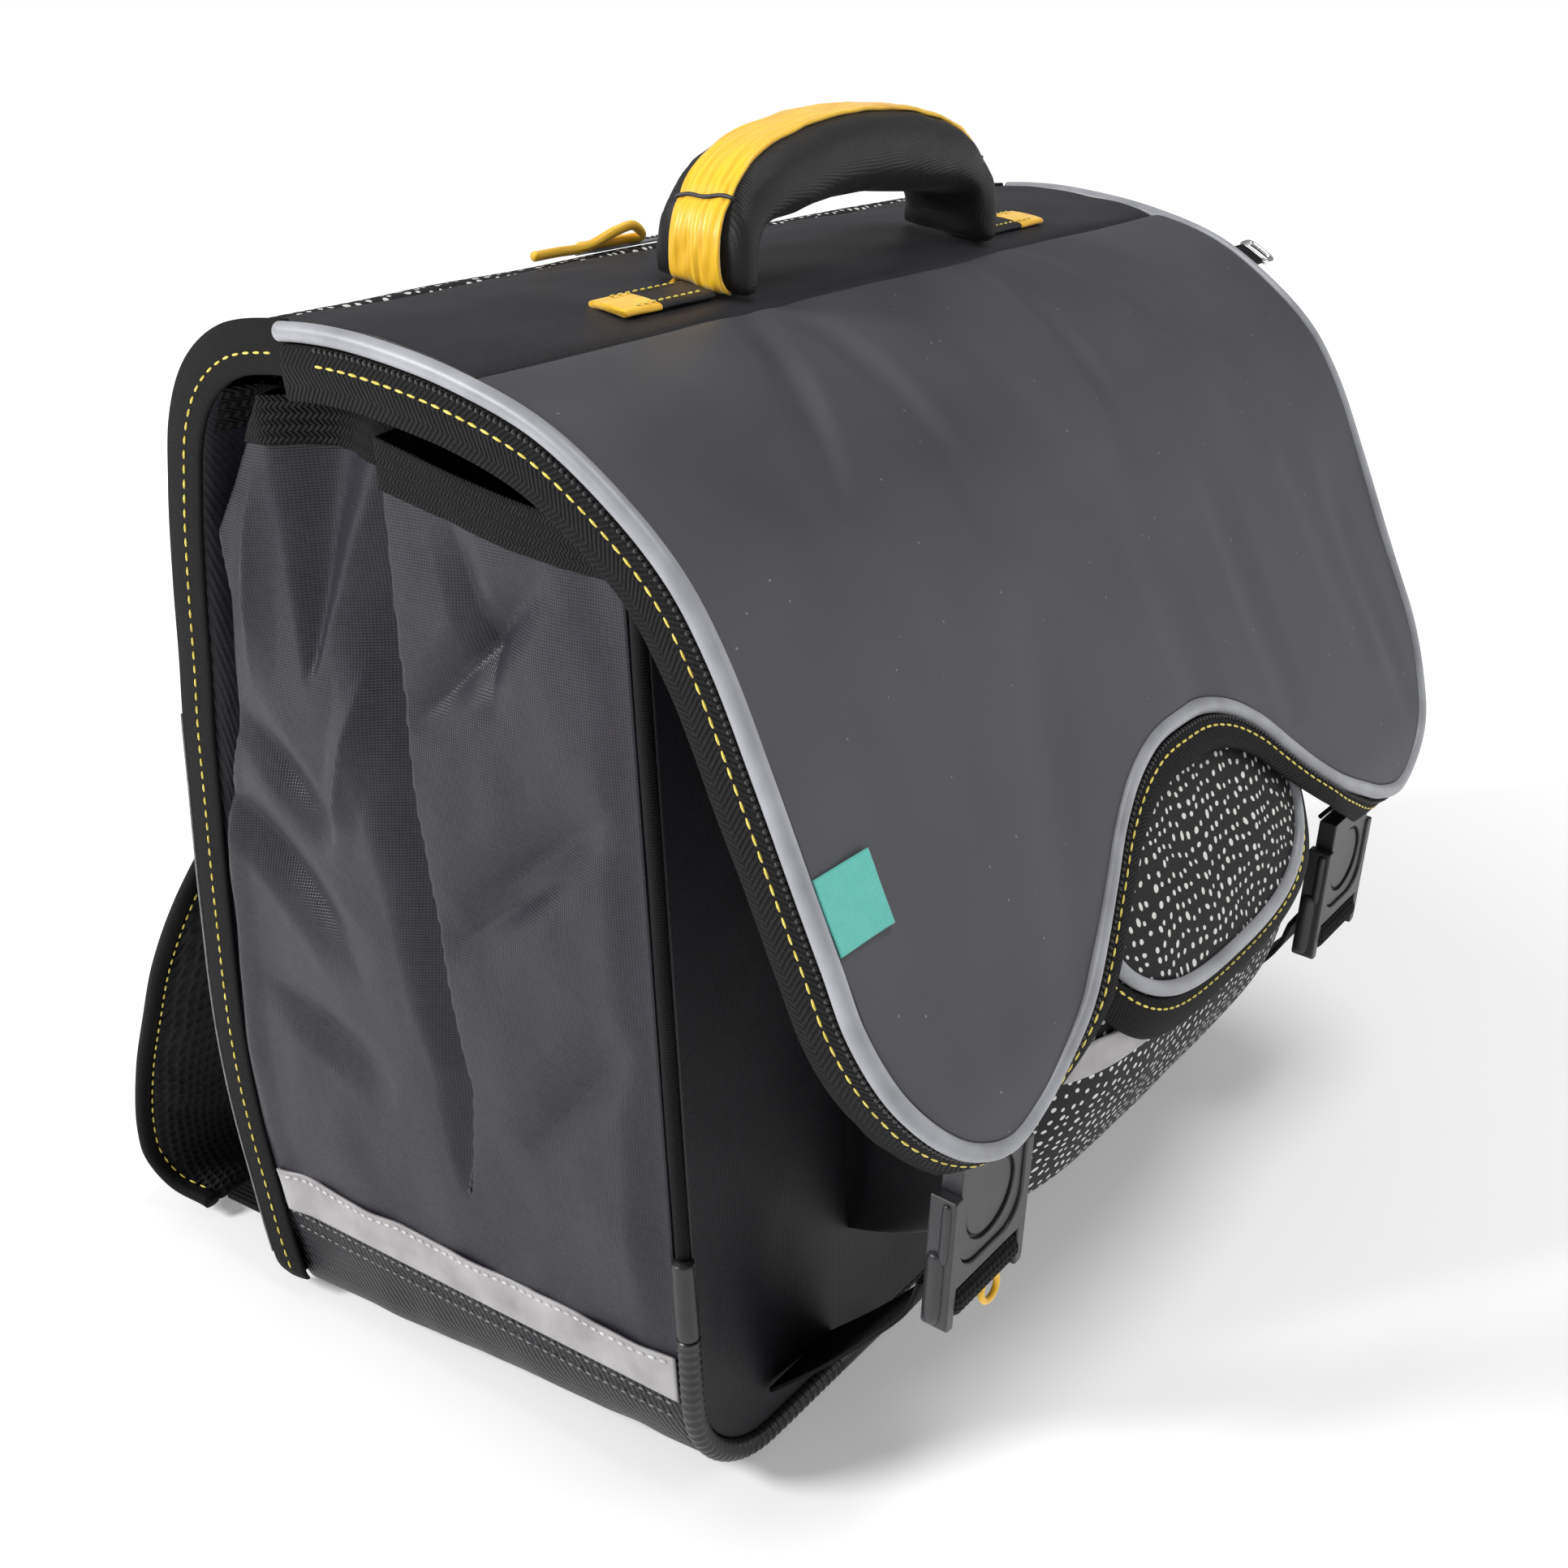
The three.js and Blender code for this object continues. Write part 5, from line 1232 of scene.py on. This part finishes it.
def buckleFrame(word, sign):
    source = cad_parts[f"buckle_frame_{word}"].data
    bm = bmesh.new()
    bm.from_mesh(source)
    bmesh.ops.remove_doubles(bm, verts=bm.verts[:], dist=0.01 * mm)
    bmesh.ops.dissolve_limit(bm, angle_limit=math.radians(2), verts=bm.verts[:], edges=bm.edges[:])
    middle = sign * buckle["spacing"] / 2 * mm
    for vert in bm.verts:
        vert.co.x = middle + (vert.co.x - middle) * buckle["width"] / 48
    piece = finishPiece(f"buckle_body_{word}", bm, finish["plastic"], [f"buckle_frame_{word}"],
                        smooth=False)
    roundEdges(piece, 0.7)
    for k, at in enumerate((-1, 1)):
        x = sign * buckle["spacing"] / 2 + at * (buckle["width"] / 2 - 1.2)
        low, middle, high = rollMiddle - 5, rollMiddle + 20, rollMiddle + 38
        tilt = math.tan(lean)
        post = [(x, rollDepth + 1 - (z - rollMiddle) * tilt, z) for z in (low, (low + middle) / 2, middle)]
        cordAlong(f"buckle_post_{word}_{k}", post, 3.4, 16, 40, finish["plastic"], (),
                  roundedEnds(1.5, 0.3))
        arm = [(x + 0.6 * at, rollDepth - 1.5 - (z - rollMiddle) * tilt, z)
               for z in (middle - 3, (middle + high) / 2, high)]
        cordAlong(f"buckle_arm_{word}_{k}", arm, 1.8, 14, 30, finish["plastic"], (),
                  roundedEnds(1.2, 0.35))


def webbingAlong(name, middle, width, wall, route, nodes, crown=0.3, rows=60):
    curve = smoothCurve([Vector((0, y, z)) for y, z in route])

    def put(a, b, v):
        point, along = onCurve(curve, v * curve["total"])
        away = Vector((0, -along.z, along.y))
        return point + away * b + Vector((middle + a, 0, 0)), v * curve["total"]

    section = tapeSection(width, wall, crown, across=14)
    loftBody(name, section, rows, put, finish["webbing"], nodes)


def flapInside(z):
    return onShell(0, flapAtHeight(z), -bag["flapWall"] - bag["seat"]).y


def buckleWebbing(word, sign):
    middle = sign * buckle["spacing"] / 2
    half = buckle["webbing"] / 2
    ends = [(middle - half + k * buckle["webbing"] / 4, rollDepth, rollMiddle) for k in range(5)]
    ribPitch = 2.3

    def rolled(distance, total):
        rib = 0.5 - 0.5 * math.cos(2 * math.pi * distance / ribPitch)
        close = 1 - 0.25 * (math.exp(-distance / 0.7) + math.exp(-(total - distance) / 0.7))
        return close * (1 - 0.06 * rib)

    cordAlong(f"rolled_webbing_{word}", ends, buckle["roll"], 24, 150, finish["webbing"],
              [f"webbing_roll_{word}"], rolled)
    start = rollDepth + buckle["roll"] + bag["seat"] + buckle["wall"]
    end = wallFront - buckle["wall"] / 2
    drop = rollMiddle - buckle["strapFoot"]
    shares = [(0, None), (0.08, 0.14), (0.32, 0.4), (0.66, 0.72), (1, 1)]
    route = [(start + out * (end - start),
              rollMiddle + buckle["roll"] / 2 if down is None else rollMiddle - down * drop)
             for out, down in shares]
    webbingAlong(f"lower_webbing_{word}", middle, buckle["webbing"], buckle["wall"], route,
                 [f"buckle_strap_{word}"])
    top = buckle["top"] + buckle["hanger"]
    halfway = buckle["top"] + buckle["hanger"] / 2
    route = [(frontFace - buckle["reach"] + buckle["setback"], buckle["top"] + 1.4),
             (flapInside(halfway) + 4 * buckle["wall"], halfway),
             (flapInside(top) + buckle["wall"] / 2 + 2.1, top)]
    webbingAlong(f"upper_webbing_{word}", middle, buckle["webbing"], buckle["wall"], route,
                 [f"flap_hanger_{word}"], rows=20)


for word, sign in bothSides:
    tonguePlate(word, sign)
    buckleFrame(word, sign)
    buckleWebbing(word, sign)
print("buckles made")


# Handle
handle = {"span": 140, "rise": 35.5, "width": 40, "thick": 25, "footThick": 13, "reach": 31,
          "strip": 20, "stripWall": 1.2, "tabLength": 41, "tabWidth": 15, "tabWall": 2,
          "tabReach": 33, "tabEnd": 16, "stitchUp": 22}
handleOutline = [
    (1, 0), (1, 0.3), (0.97, 0.52), (0.8, 0.77), (0.51, 0.9), (0.25, 0.98), (0, 1),
]
arch = [Vector((-out * handle["span"] / 2, 0, up * handle["rise"])) for out, up in handleOutline]
arch += [Vector((-p.x, 0, p.z)) for p in reversed(arch[:-1])]
handleCurve = smoothCurve(arch)


def topAt(y):
    return onShell(0, topAtDepth(y)).z


handleFoot = topAt(-handle["reach"])
footHeights = {}


def handlePoint(distance, y, out):
    point, along = onCurve(handleCurve, distance)
    depth = y - handle["reach"]
    x, z = point.x - along.z * out, handleFoot + point.z + along.x * out
    near = min(distance, handleCurve["total"] - distance)
    if near < 12:
        key = round(depth, 1)
        if key not in footHeights:
            footHeights[key] = topAt(depth) + 0.4
        z += (footHeights[key] - handleFoot - 0.4) * (1 - near / 12)
        z = max(z, footHeights[key])
    return Vector((x, depth, z))


def handleThick(share):
    middle = smooth((0.5 - abs(share - 0.5)) / 0.3)
    return handle["footThick"] + middle * (handle["thick"] - handle["footThick"])


# Air pressed into a padded piece by a cloth simulation, with the cloth held to a short way
def inflate(piece, pressure, cap, voxel):
    remesh = piece.modifiers.new("remesh", "REMESH")
    remesh.mode = "VOXEL"
    remesh.voxel_size = voxel * mm
    with bpy.context.temp_override(object=piece, active_object=piece):
        bpy.ops.object.modifier_apply(modifier="remesh")
    start = [v.co.copy() for v in piece.data.vertices]
    cloth = piece.modifiers.new("cloth", "CLOTH")
    cloth.settings.use_pressure = True
    cloth.settings.uniform_pressure_force = pressure
    cloth.settings.effector_weights.gravity = 0.0
    cloth.point_cache.frame_start = 1
    cloth.point_cache.frame_end = 20
    for step in range(1, 21):
        scene.frame_set(step)
    swollen = piece.evaluated_get(bpy.context.evaluated_depsgraph_get()).data
    after = [v.co.copy() for v in swollen.vertices]
    piece.modifiers.remove(cloth)
    for vert, a, b in zip(piece.data.vertices, start, after):
        vert.co = a + (b - a) * min(1.0, cap * mm / max(1e-9, (b - a).length))
    for face in piece.data.polygons:
        face.use_smooth = True
    scene.frame_set(1)
    finer = piece.modifiers.new("finer", "SUBSURF")
    finer.levels = finer.render_levels = 1
    with bpy.context.temp_override(object=piece, active_object=piece):
        bpy.ops.object.modifier_apply(modifier="finer")
    print(f"{piece.name} filled by cloth simulation")


def handleGrip():
    total = handleCurve["total"]
    turns = 40
    section = measured([
        (squared(math.cos(2 * math.pi * k / turns), 0.55), squared(math.sin(2 * math.pi * k / turns), 0.75))
        for k in range(turns)
    ])

    def put(a, b, v):
        distance = v * total
        wide = handle["width"] / 2 - 0.8
        thick = handleThick(v) / 2 - 0.6
        pinch = 1 - 0.06 * math.exp(-((min(distance, total - distance) - 24) / 5) ** 2)
        fold = 0.9 * drift(distance * 1.4, b * 3, a, 9, 3) * (abs(a) > 0.35) * smooth((1 - b) / 1.2)
        gather = 1 + 0.05 * drift(distance, 12 * b, 20 * a, 7, 6)
        across = a * wide * pinch + math.copysign(fold, a)
        return handlePoint(distance, across, b * thick * gather), distance

    grip = loftBody("handle_padding", section, 150, put, finish["handle"], ["handle_grip"])
    inflate(grip, 4.0, 5.0, 4.0)
    tree = BVHTree.FromObject(grip, bpy.context.evaluated_depsgraph_get())

    def overGrip(distance, y, lift):
        point = handlePoint(distance, y, handleThick(distance / total) / 2)
        _, along = onCurve(handleCurve, distance)
        away = Vector((-along.z, 0, along.x))
        hit = tree.ray_cast((point + away * 12) * mm, -away, 0.03)[0]
        base = hit / mm if hit else point
        return base + away * lift

    def stripPlace(u, v):
        y = (u - 0.5) * handle["strip"] - 1.5
        distance = 1.0 + v * (total - 2.0)
        near = min(distance, total - distance)
        frill = 0.5 * drift(y * 2.2, distance * 0.35, 0, 4, 5)
        bulge = 0.9 * math.exp(-((near - 8) / 9) ** 2) * (1 + drift(y * 3, distance, 0, 7, 2))
        held = 0.9 * math.exp(-((near - handle["stitchUp"]) / 2.2) ** 2)
        lift = handle["stripWall"] + 0.35 + frill + bulge - held * 0.8
        return overGrip(distance, y, lift), (y, distance)

    clothSheet("handle_yellow", 44, 220, stripPlace, handle["stripWall"], finish["yellow"],
               ["handle_strip"])
    for k, at in enumerate((handle["stitchUp"], total - handle["stitchUp"])):
        ends = [overGrip(at + 0.3 * math.sin(j), (j / 10 - 0.5) * (handle["strip"] + 2) - 1.5, 1.2)
                for j in range(11)]
        cordAlong(f"handle_tack_{k}", ends, 0.7, 8, 40, finish["blackThread"], ())


handleGrip()


def topTab(name, sign, start, end, material, nodes):
    middle = topAtDepth(-handle["tabReach"])

    def put(a, b, v):
        x = start + v * (end - start)
        return onShell(sign * x, middle + a, 1.3 + b + 0.3 * drift(x, a, 0, 12, 4)), x

    section = tapeSection(handle["tabWidth"], handle["tabWall"], 0.3, 10)
    loftBody(name, section, 30, put, material, nodes)
    return middle


def handleTabs(word, sign):
    start = handle["span"] / 2 + handle["footThick"] / 2 + 2.8
    end = start + handle["tabLength"]
    fold = end - handle["tabEnd"]
    middle = topTab(f"tab_black_{word}", sign, start, fold - 0.2, finish["band"],
                    [f"handle_tab_{word}"])
    topTab(f"tab_yellow_{word}", sign, fold, end, finish["yellow"],
           [f"handle_tab_end_{word}"])
    half = handle["tabWidth"] / 2 - 2.5
    for k, across in enumerate((-half, half)):
        line = [onShell(sign * (start + 4 + j * 2), middle + across, 2.9) for j in range(17)]
        stitchRun(f"tab_stitches_{word}_{k}", line, finish["yellowThread"], 2.4, 1.0, 0.4)


for word, sign in bothSides:
    handleTabs(word, sign)
print("handle made")


# Shoulder straps
strap = {"width": 60, "thick": 10, "topSpread": 88, "footSpread": 161, "bulge": 80, "top": 286,
         "tail": 26, "tailWall": 2.4, "binding": 7, "from": 0.45}
strapOutline = [
    (0, 1), (0.02, 0.87), (0.13, 0.72), (0.235, 0.63), (0.39, 0.525), (0.6, 0.42), (0.76, 0.33),
    (0.91, 0.235), (1, 0.14), (0.985, 0.08), (0.9, 0.04), (0.7, 0.024),
]


def backFace(x, z):
    s = 0
    while s < yokeTopAt and onShell(x, s).z < z:
        s += 2
    return onShell(x, s).y


def strapPoint(out, up):
    inward = smooth((up - strap["from"]) / (1 - strap["from"]))
    spreadOut = strap["footSpread"] - inward * (strap["footSpread"] - strap["topSpread"])
    z = up * strap["top"]
    held = backFace(spreadOut - strap["width"] / 2, z) + strap["thick"] / 2 + bag["edgeGap"]
    return Vector((spreadOut, max(held, bag["depth"] / 2 + out * strap["bulge"]), z))


strapCurve = smoothCurve([strapPoint(out, up) for out, up in strapOutline])


def strapSpot(sign, distance, a, out):
    point, along = onCurve(strapCurve, distance)
    away = Vector((0, -along.z, along.y)).normalized()
    return Vector((sign * (point.x + a), 0, 0)) + Vector((0, point.y, point.z)) + away * out


def strapHalf(distance):
    end = smooth((strapCurve["total"] - distance) / (0.12 * strapCurve["total"]))
    return strap["width"] / 2 * (0.72 + 0.28 * end)


def shoulderStrap(word, sign):
    total = strapCurve["total"]
    across = 26
    rim = [(-1 + 2 * k / across, 1) for k in range(across + 1)]
    rim += [(1 - 2 * k / across, -1) for k in range(across + 1)]

    def put(a, b, v):
        distance = v * total
        half = strapHalf(distance) - 1.5
        thick = strap["thick"] / 2 * (0.35 + 0.65 * (1 - abs(a) ** 3.5))
        rib = 0.35 * math.sin(2 * math.pi * distance / 9) * (1 - abs(a) ** 4) if b < 0 else 0
        soft = 0.5 * drift(distance, a * 30, b, 24, 6 * sign)
        ends = min(1.0, distance / 4, (total - distance) / 4)
        out = b * (thick * (0.4 + 0.6 * ends)) + soft * ends + rib * ends
        return strapSpot(sign, distance, a * half, out), distance

    section, length = measured(rim)
    section = ([(a, b, d * strap["width"] / 2) for a, b, d in section], length * strap["width"] / 2)
    core = loftBody(f"strap_pad_{word}", section, 150, put, [finish["strapCloth"], finish["mesh"]],
                    [f"shoulder_strap_{word}"])
    inflate(core, 4.0, 5.0, 4.0)
    for face in core.data.polygons:
        towardsBack = face.normal.y < -0.15
        face.material_index = 1 if towardsBack else 0
    for k, edge in enumerate((-1, 1)):
        def bindingPut(a, b, v):
            distance = 1 + v * (total - 2)
            half = strapHalf(distance) - strap["binding"] / 2 + 0.6
            return strapSpot(sign, distance, edge * half + a, b), distance

        section = tapeSection(strap["binding"], 4.6, 0.0, 8, 5)
        loftBody(f"strap_binding_{word}_{k}", section, 150, bindingPut, finish["edgeTape"], ())
        for face, lift in (("out", 2.9), ("in", -2.9)):
            line = []
            for j in range(141):
                distance = 5 + (total - 10) * j / 140
                half = strapHalf(distance) - strap["binding"] + 2.2
                line.append(strapSpot(sign, distance, edge * half, lift))
            stitchRun(f"strap_stitches_{word}_{k}_{face}", line, finish["yellowThread"], 3.2, 1.6,
                      0.4)
    end = onCurve(strapCurve, total)[0]
    foot = backFace(strap["footSpread"], bag["backFoot"] + strap["tail"] / 2) + bag["edgeGap"]
    route = [(end.y - 1, end.z), ((end.y + foot) / 2, end.z + strap["tailWall"] / 2),
             (foot + strap["tailWall"], bag["backFoot"] + strap["tail"] / 4)]
    webbingAlong(f"strap_webbing_{word}", sign * strap["footSpread"], strap["tail"],
                 strap["tailWall"], route, [f"strap_tail_{word}"], 0.2, 40)


for word, sign in bothSides:
    shoulderStrap(word, sign)
print("straps made")


# Label, wire ring, zip and pulls
small = {"labelWidth": 23, "labelHeight": 21, "labelFoot": 214, "ringWidth": 15, "ringHeight": 11,
         "ringWire": 1.2, "tabLength": 9, "tabWall": 2.4, "ringReach": 88, "pull": 1.7,
         "zipLength": 84, "zipWidth": 9, "loop": 4.6, "loopWire": 1.1}


def flapLabel():
    start = flapAtHeight(small["labelFoot"] + small["labelHeight"])
    left = -bag["flapHalf"] + bag["piping"] - 0.6

    def place(u, v):
        x = left + u * small["labelWidth"]
        s = start + v * small["labelHeight"]
        curl = 0.9 * u * u + 0.3 * drift(x, s, 0, 12, 3)
        return onShell(x, s, 1.0 + curl), (x, s)

    clothSheet("label_cloth", 30, 30, place, 0.6, finish["label"], ["flap_label"])


def sideRing():
    at = topAtDepth(-small["ringReach"])
    near = bag["flapHalf"] + bag["piping"] + bag["seat"]
    width = small["ringWidth"] - 2 * small["ringWire"] - 0.6

    def put(a, b, v):
        x = near + v * small["tabLength"]
        return onShell(x, at + a, b - small["tabWall"] / 2), x

    loftBody("ring_webbing", tapeSection(width, small["tabWall"], 0.1, 8), 16, put,
             finish["edgeTape"], ["ring_tab"])
    middle = near + small["tabLength"] + small["ringHeight"] / 2 + bag["seat"]
    r = small["ringWire"]
    along, across = small["ringWidth"] / 2 - r, small["ringHeight"] / 2 - r
    rows = 64
    loop = []
    for k in range(rows):
        turn = 2 * math.pi * k / rows
        loop.append((squared(math.cos(turn), 0.5) * across, squared(math.sin(turn), 0.5) * along))
    bm = bmesh.new()
    rings = []
    for k in range(rows):
        a, b = loop[k]
        point = onShell(middle + a, at + b, -r)
        after = onShell(middle + loop[(k + 1) % rows][0], at + loop[(k + 1) % rows][1], -r)
        before = onShell(middle + loop[k - 1][0], at + loop[k - 1][1], -r)
        turn = (after - before).to_track_quat("Z", "Y")
        made = bmesh.ops.create_circle(bm, segments=12, radius=r * mm,
                                       matrix=Matrix.LocRotScale(point * mm, turn, None))
        rings.append(made["verts"])
    for k in range(rows):
        first = {e for v in rings[k] for e in v.link_edges if all(w in rings[k] for w in e.verts)}
        after = rings[(k + 1) % rows]
        second = {e for v in after for e in v.link_edges if all(w in after for w in e.verts)}
        bmesh.ops.bridge_loops(bm, edges=list(first | second))
    bmesh.ops.recalc_face_normals(bm, faces=bm.faces[:])
    finishPiece("ring_wire", bm, finish["wire"], ["side_ring"])


def rearZip():
    start = topAtDepth(bag["yokeTop"] + 1.6 * small["zipWidth"])
    half = small["zipLength"] / 2

    def place(u, v):
        x = (2 * u - 1) * half
        s = start + v * small["zipWidth"]
        return onShell(x, s, 1.7), (x, s)

    clothSheet("zip_tape", 60, 10, place, 1.0, finish["zipTape"], ["rear_zip"])
    bm = bmesh.new()
    teeth = 56
    for k in range(teeth):
        x = -half + 2 + (2 * half - 4) * k / (teeth - 1)
        s = start + small["zipWidth"] / 2 + (0.5 if k % 2 else -0.5)
        spot = onShell(x, s, 2.0)
        tooth = Matrix.LocRotScale(spot * mm, None, Vector((0.55, 1.3, 0.6)) * mm)
        bmesh.ops.create_uvsphere(bm, u_segments=6, v_segments=4, radius=1.0, matrix=tooth)
    finishPiece("zip_teeth", bm, finish["plastic"], ())
    route = [(-73, 40, 354), (-62, 41, 357), (-46, 41, 361), (-32, 40, 366), (-24, 39, 367),
             (-19, 40, 363), (-24, 43, 358.5), (-36, 44, 357), (-46, 45, 356)]
    points = []
    for x, y, z in route:
        face = onShell(x, topAtDepth(y))
        points.append(Vector((x, y, max(z, face.z + 1.5 + small["pull"]))))
    cordAlong("zip_pull_cord", points, small["pull"], 14, 130, finish["yellow"], ["zip_pull"])


def pullLoop():
    middle = Vector((-buckle["spacing"] / 2 + buckle["webbing"] / 4, rollDepth,
                     rollMiddle - buckle["roll"] - bag["seat"] - small["loop"] - small["loopWire"]))
    bm = bmesh.new()
    place = Matrix.Translation((middle + Vector((small["loop"], 0, 0))) * mm)
    start = bmesh.ops.create_circle(bm, segments=12, radius=small["loopWire"] * mm, matrix=place)
    geom = start["verts"] + list({e for v in start["verts"] for e in v.link_edges})
    bmesh.ops.spin(bm, geom=geom, cent=middle * mm, axis=(0, 1, 0), dvec=(0, 0, 0),
                   angle=2 * math.pi, steps=40, use_merge=True)
    bmesh.ops.recalc_face_normals(bm, faces=bm.faces[:])
    finishPiece("pull_ring", bm, finish["yellow"], ["pocket_pull_loop"])


flapLabel()
sideRing()
rearZip()
pullLoop()
print("small parts made")


# Floor, light and backdrop; the floor glows, more away from the middle, as painted light that whitens it and
# lights the bag from below
studio = {"floor": 12.0, "floorColour": "#f6f6f6", "sky": 0.27, "seen": 1.0, "glowFrom": 0.35,
          "glowTo": 1.3, "glow": (0.22, 0.78)}


def glowingFloor():
    bm = bmesh.new()
    bmesh.ops.create_grid(bm, x_segments=2, y_segments=2, size=studio["floor"])
    bmesh.ops.translate(bm, vec=(0, 0, -0.0005), verts=bm.verts[:])
    m, shader, where = startMaterial("paleGlowingFloor", studio["floorColour"], 0.9,
                                     Emission_Color=(1, 1, 1, 1))
    # painted light: the floor's emission rises with distance from the middle and also lights the bag like
    # bounce
    far = addNode(m, "ShaderNodeVectorMath", {0: where}, operation="LENGTH").outputs["Value"]
    glow = addNode(m, "ShaderNodeMapRange",
                   {"Value": far, "From Min": studio["glowFrom"], "From Max": studio["glowTo"],
                    "To Min": studio["glow"][0], "To Max": studio["glow"][1]})
    m.node_tree.links.new(glow.outputs["Result"], shader.inputs["Emission Strength"])
    mesh = bpy.data.meshes.new("floor")
    bm.to_mesh(mesh)
    bm.free()
    mesh.materials.append(m)
    floor = bpy.data.objects.new("floor", mesh)
    scene.collection.objects.link(floor)


def softBox(name, place, target, size, power):
    data = bpy.data.lights.new(name, "AREA")
    data.shape = "DISK"
    data.size = size
    data.energy = power
    lamp = bpy.data.objects.new(name, data)
    scene.collection.objects.link(lamp)
    lamp.location = place
    lamp.rotation_euler = (Vector(target) - Vector(place)).to_track_quat("-Z", "Y").to_euler()


glowingFloor()
softBox("key", (-1.75, 1.15, 1.5), (0, 0, 0.2), 0.7, 54)
softBox("over", (0.1, -0.7, 2.4), (0, -0.1, 0.2), 1.0, 26)
softBox("fill", (1.4, -1.9, 1.2), (0, -0.1, 0.2), 1.6, 9)
world = bpy.data.worlds.new("studio")
scene.world = world
world.use_nodes = True
background = world.node_tree.nodes["Background"]
background.inputs["Color"].default_value = hexColour("#ffffff")
sight = addNode(world, "ShaderNodeLightPath").outputs["Is Camera Ray"]
level = addNode(world, "ShaderNodeMapRange",
                {"Value": sight, "To Min": studio["sky"], "To Max": studio["seen"]})
world.node_tree.links.new(level.outputs["Result"], background.inputs["Strength"])

bpy.context.view_layer.update()
print("scene done")
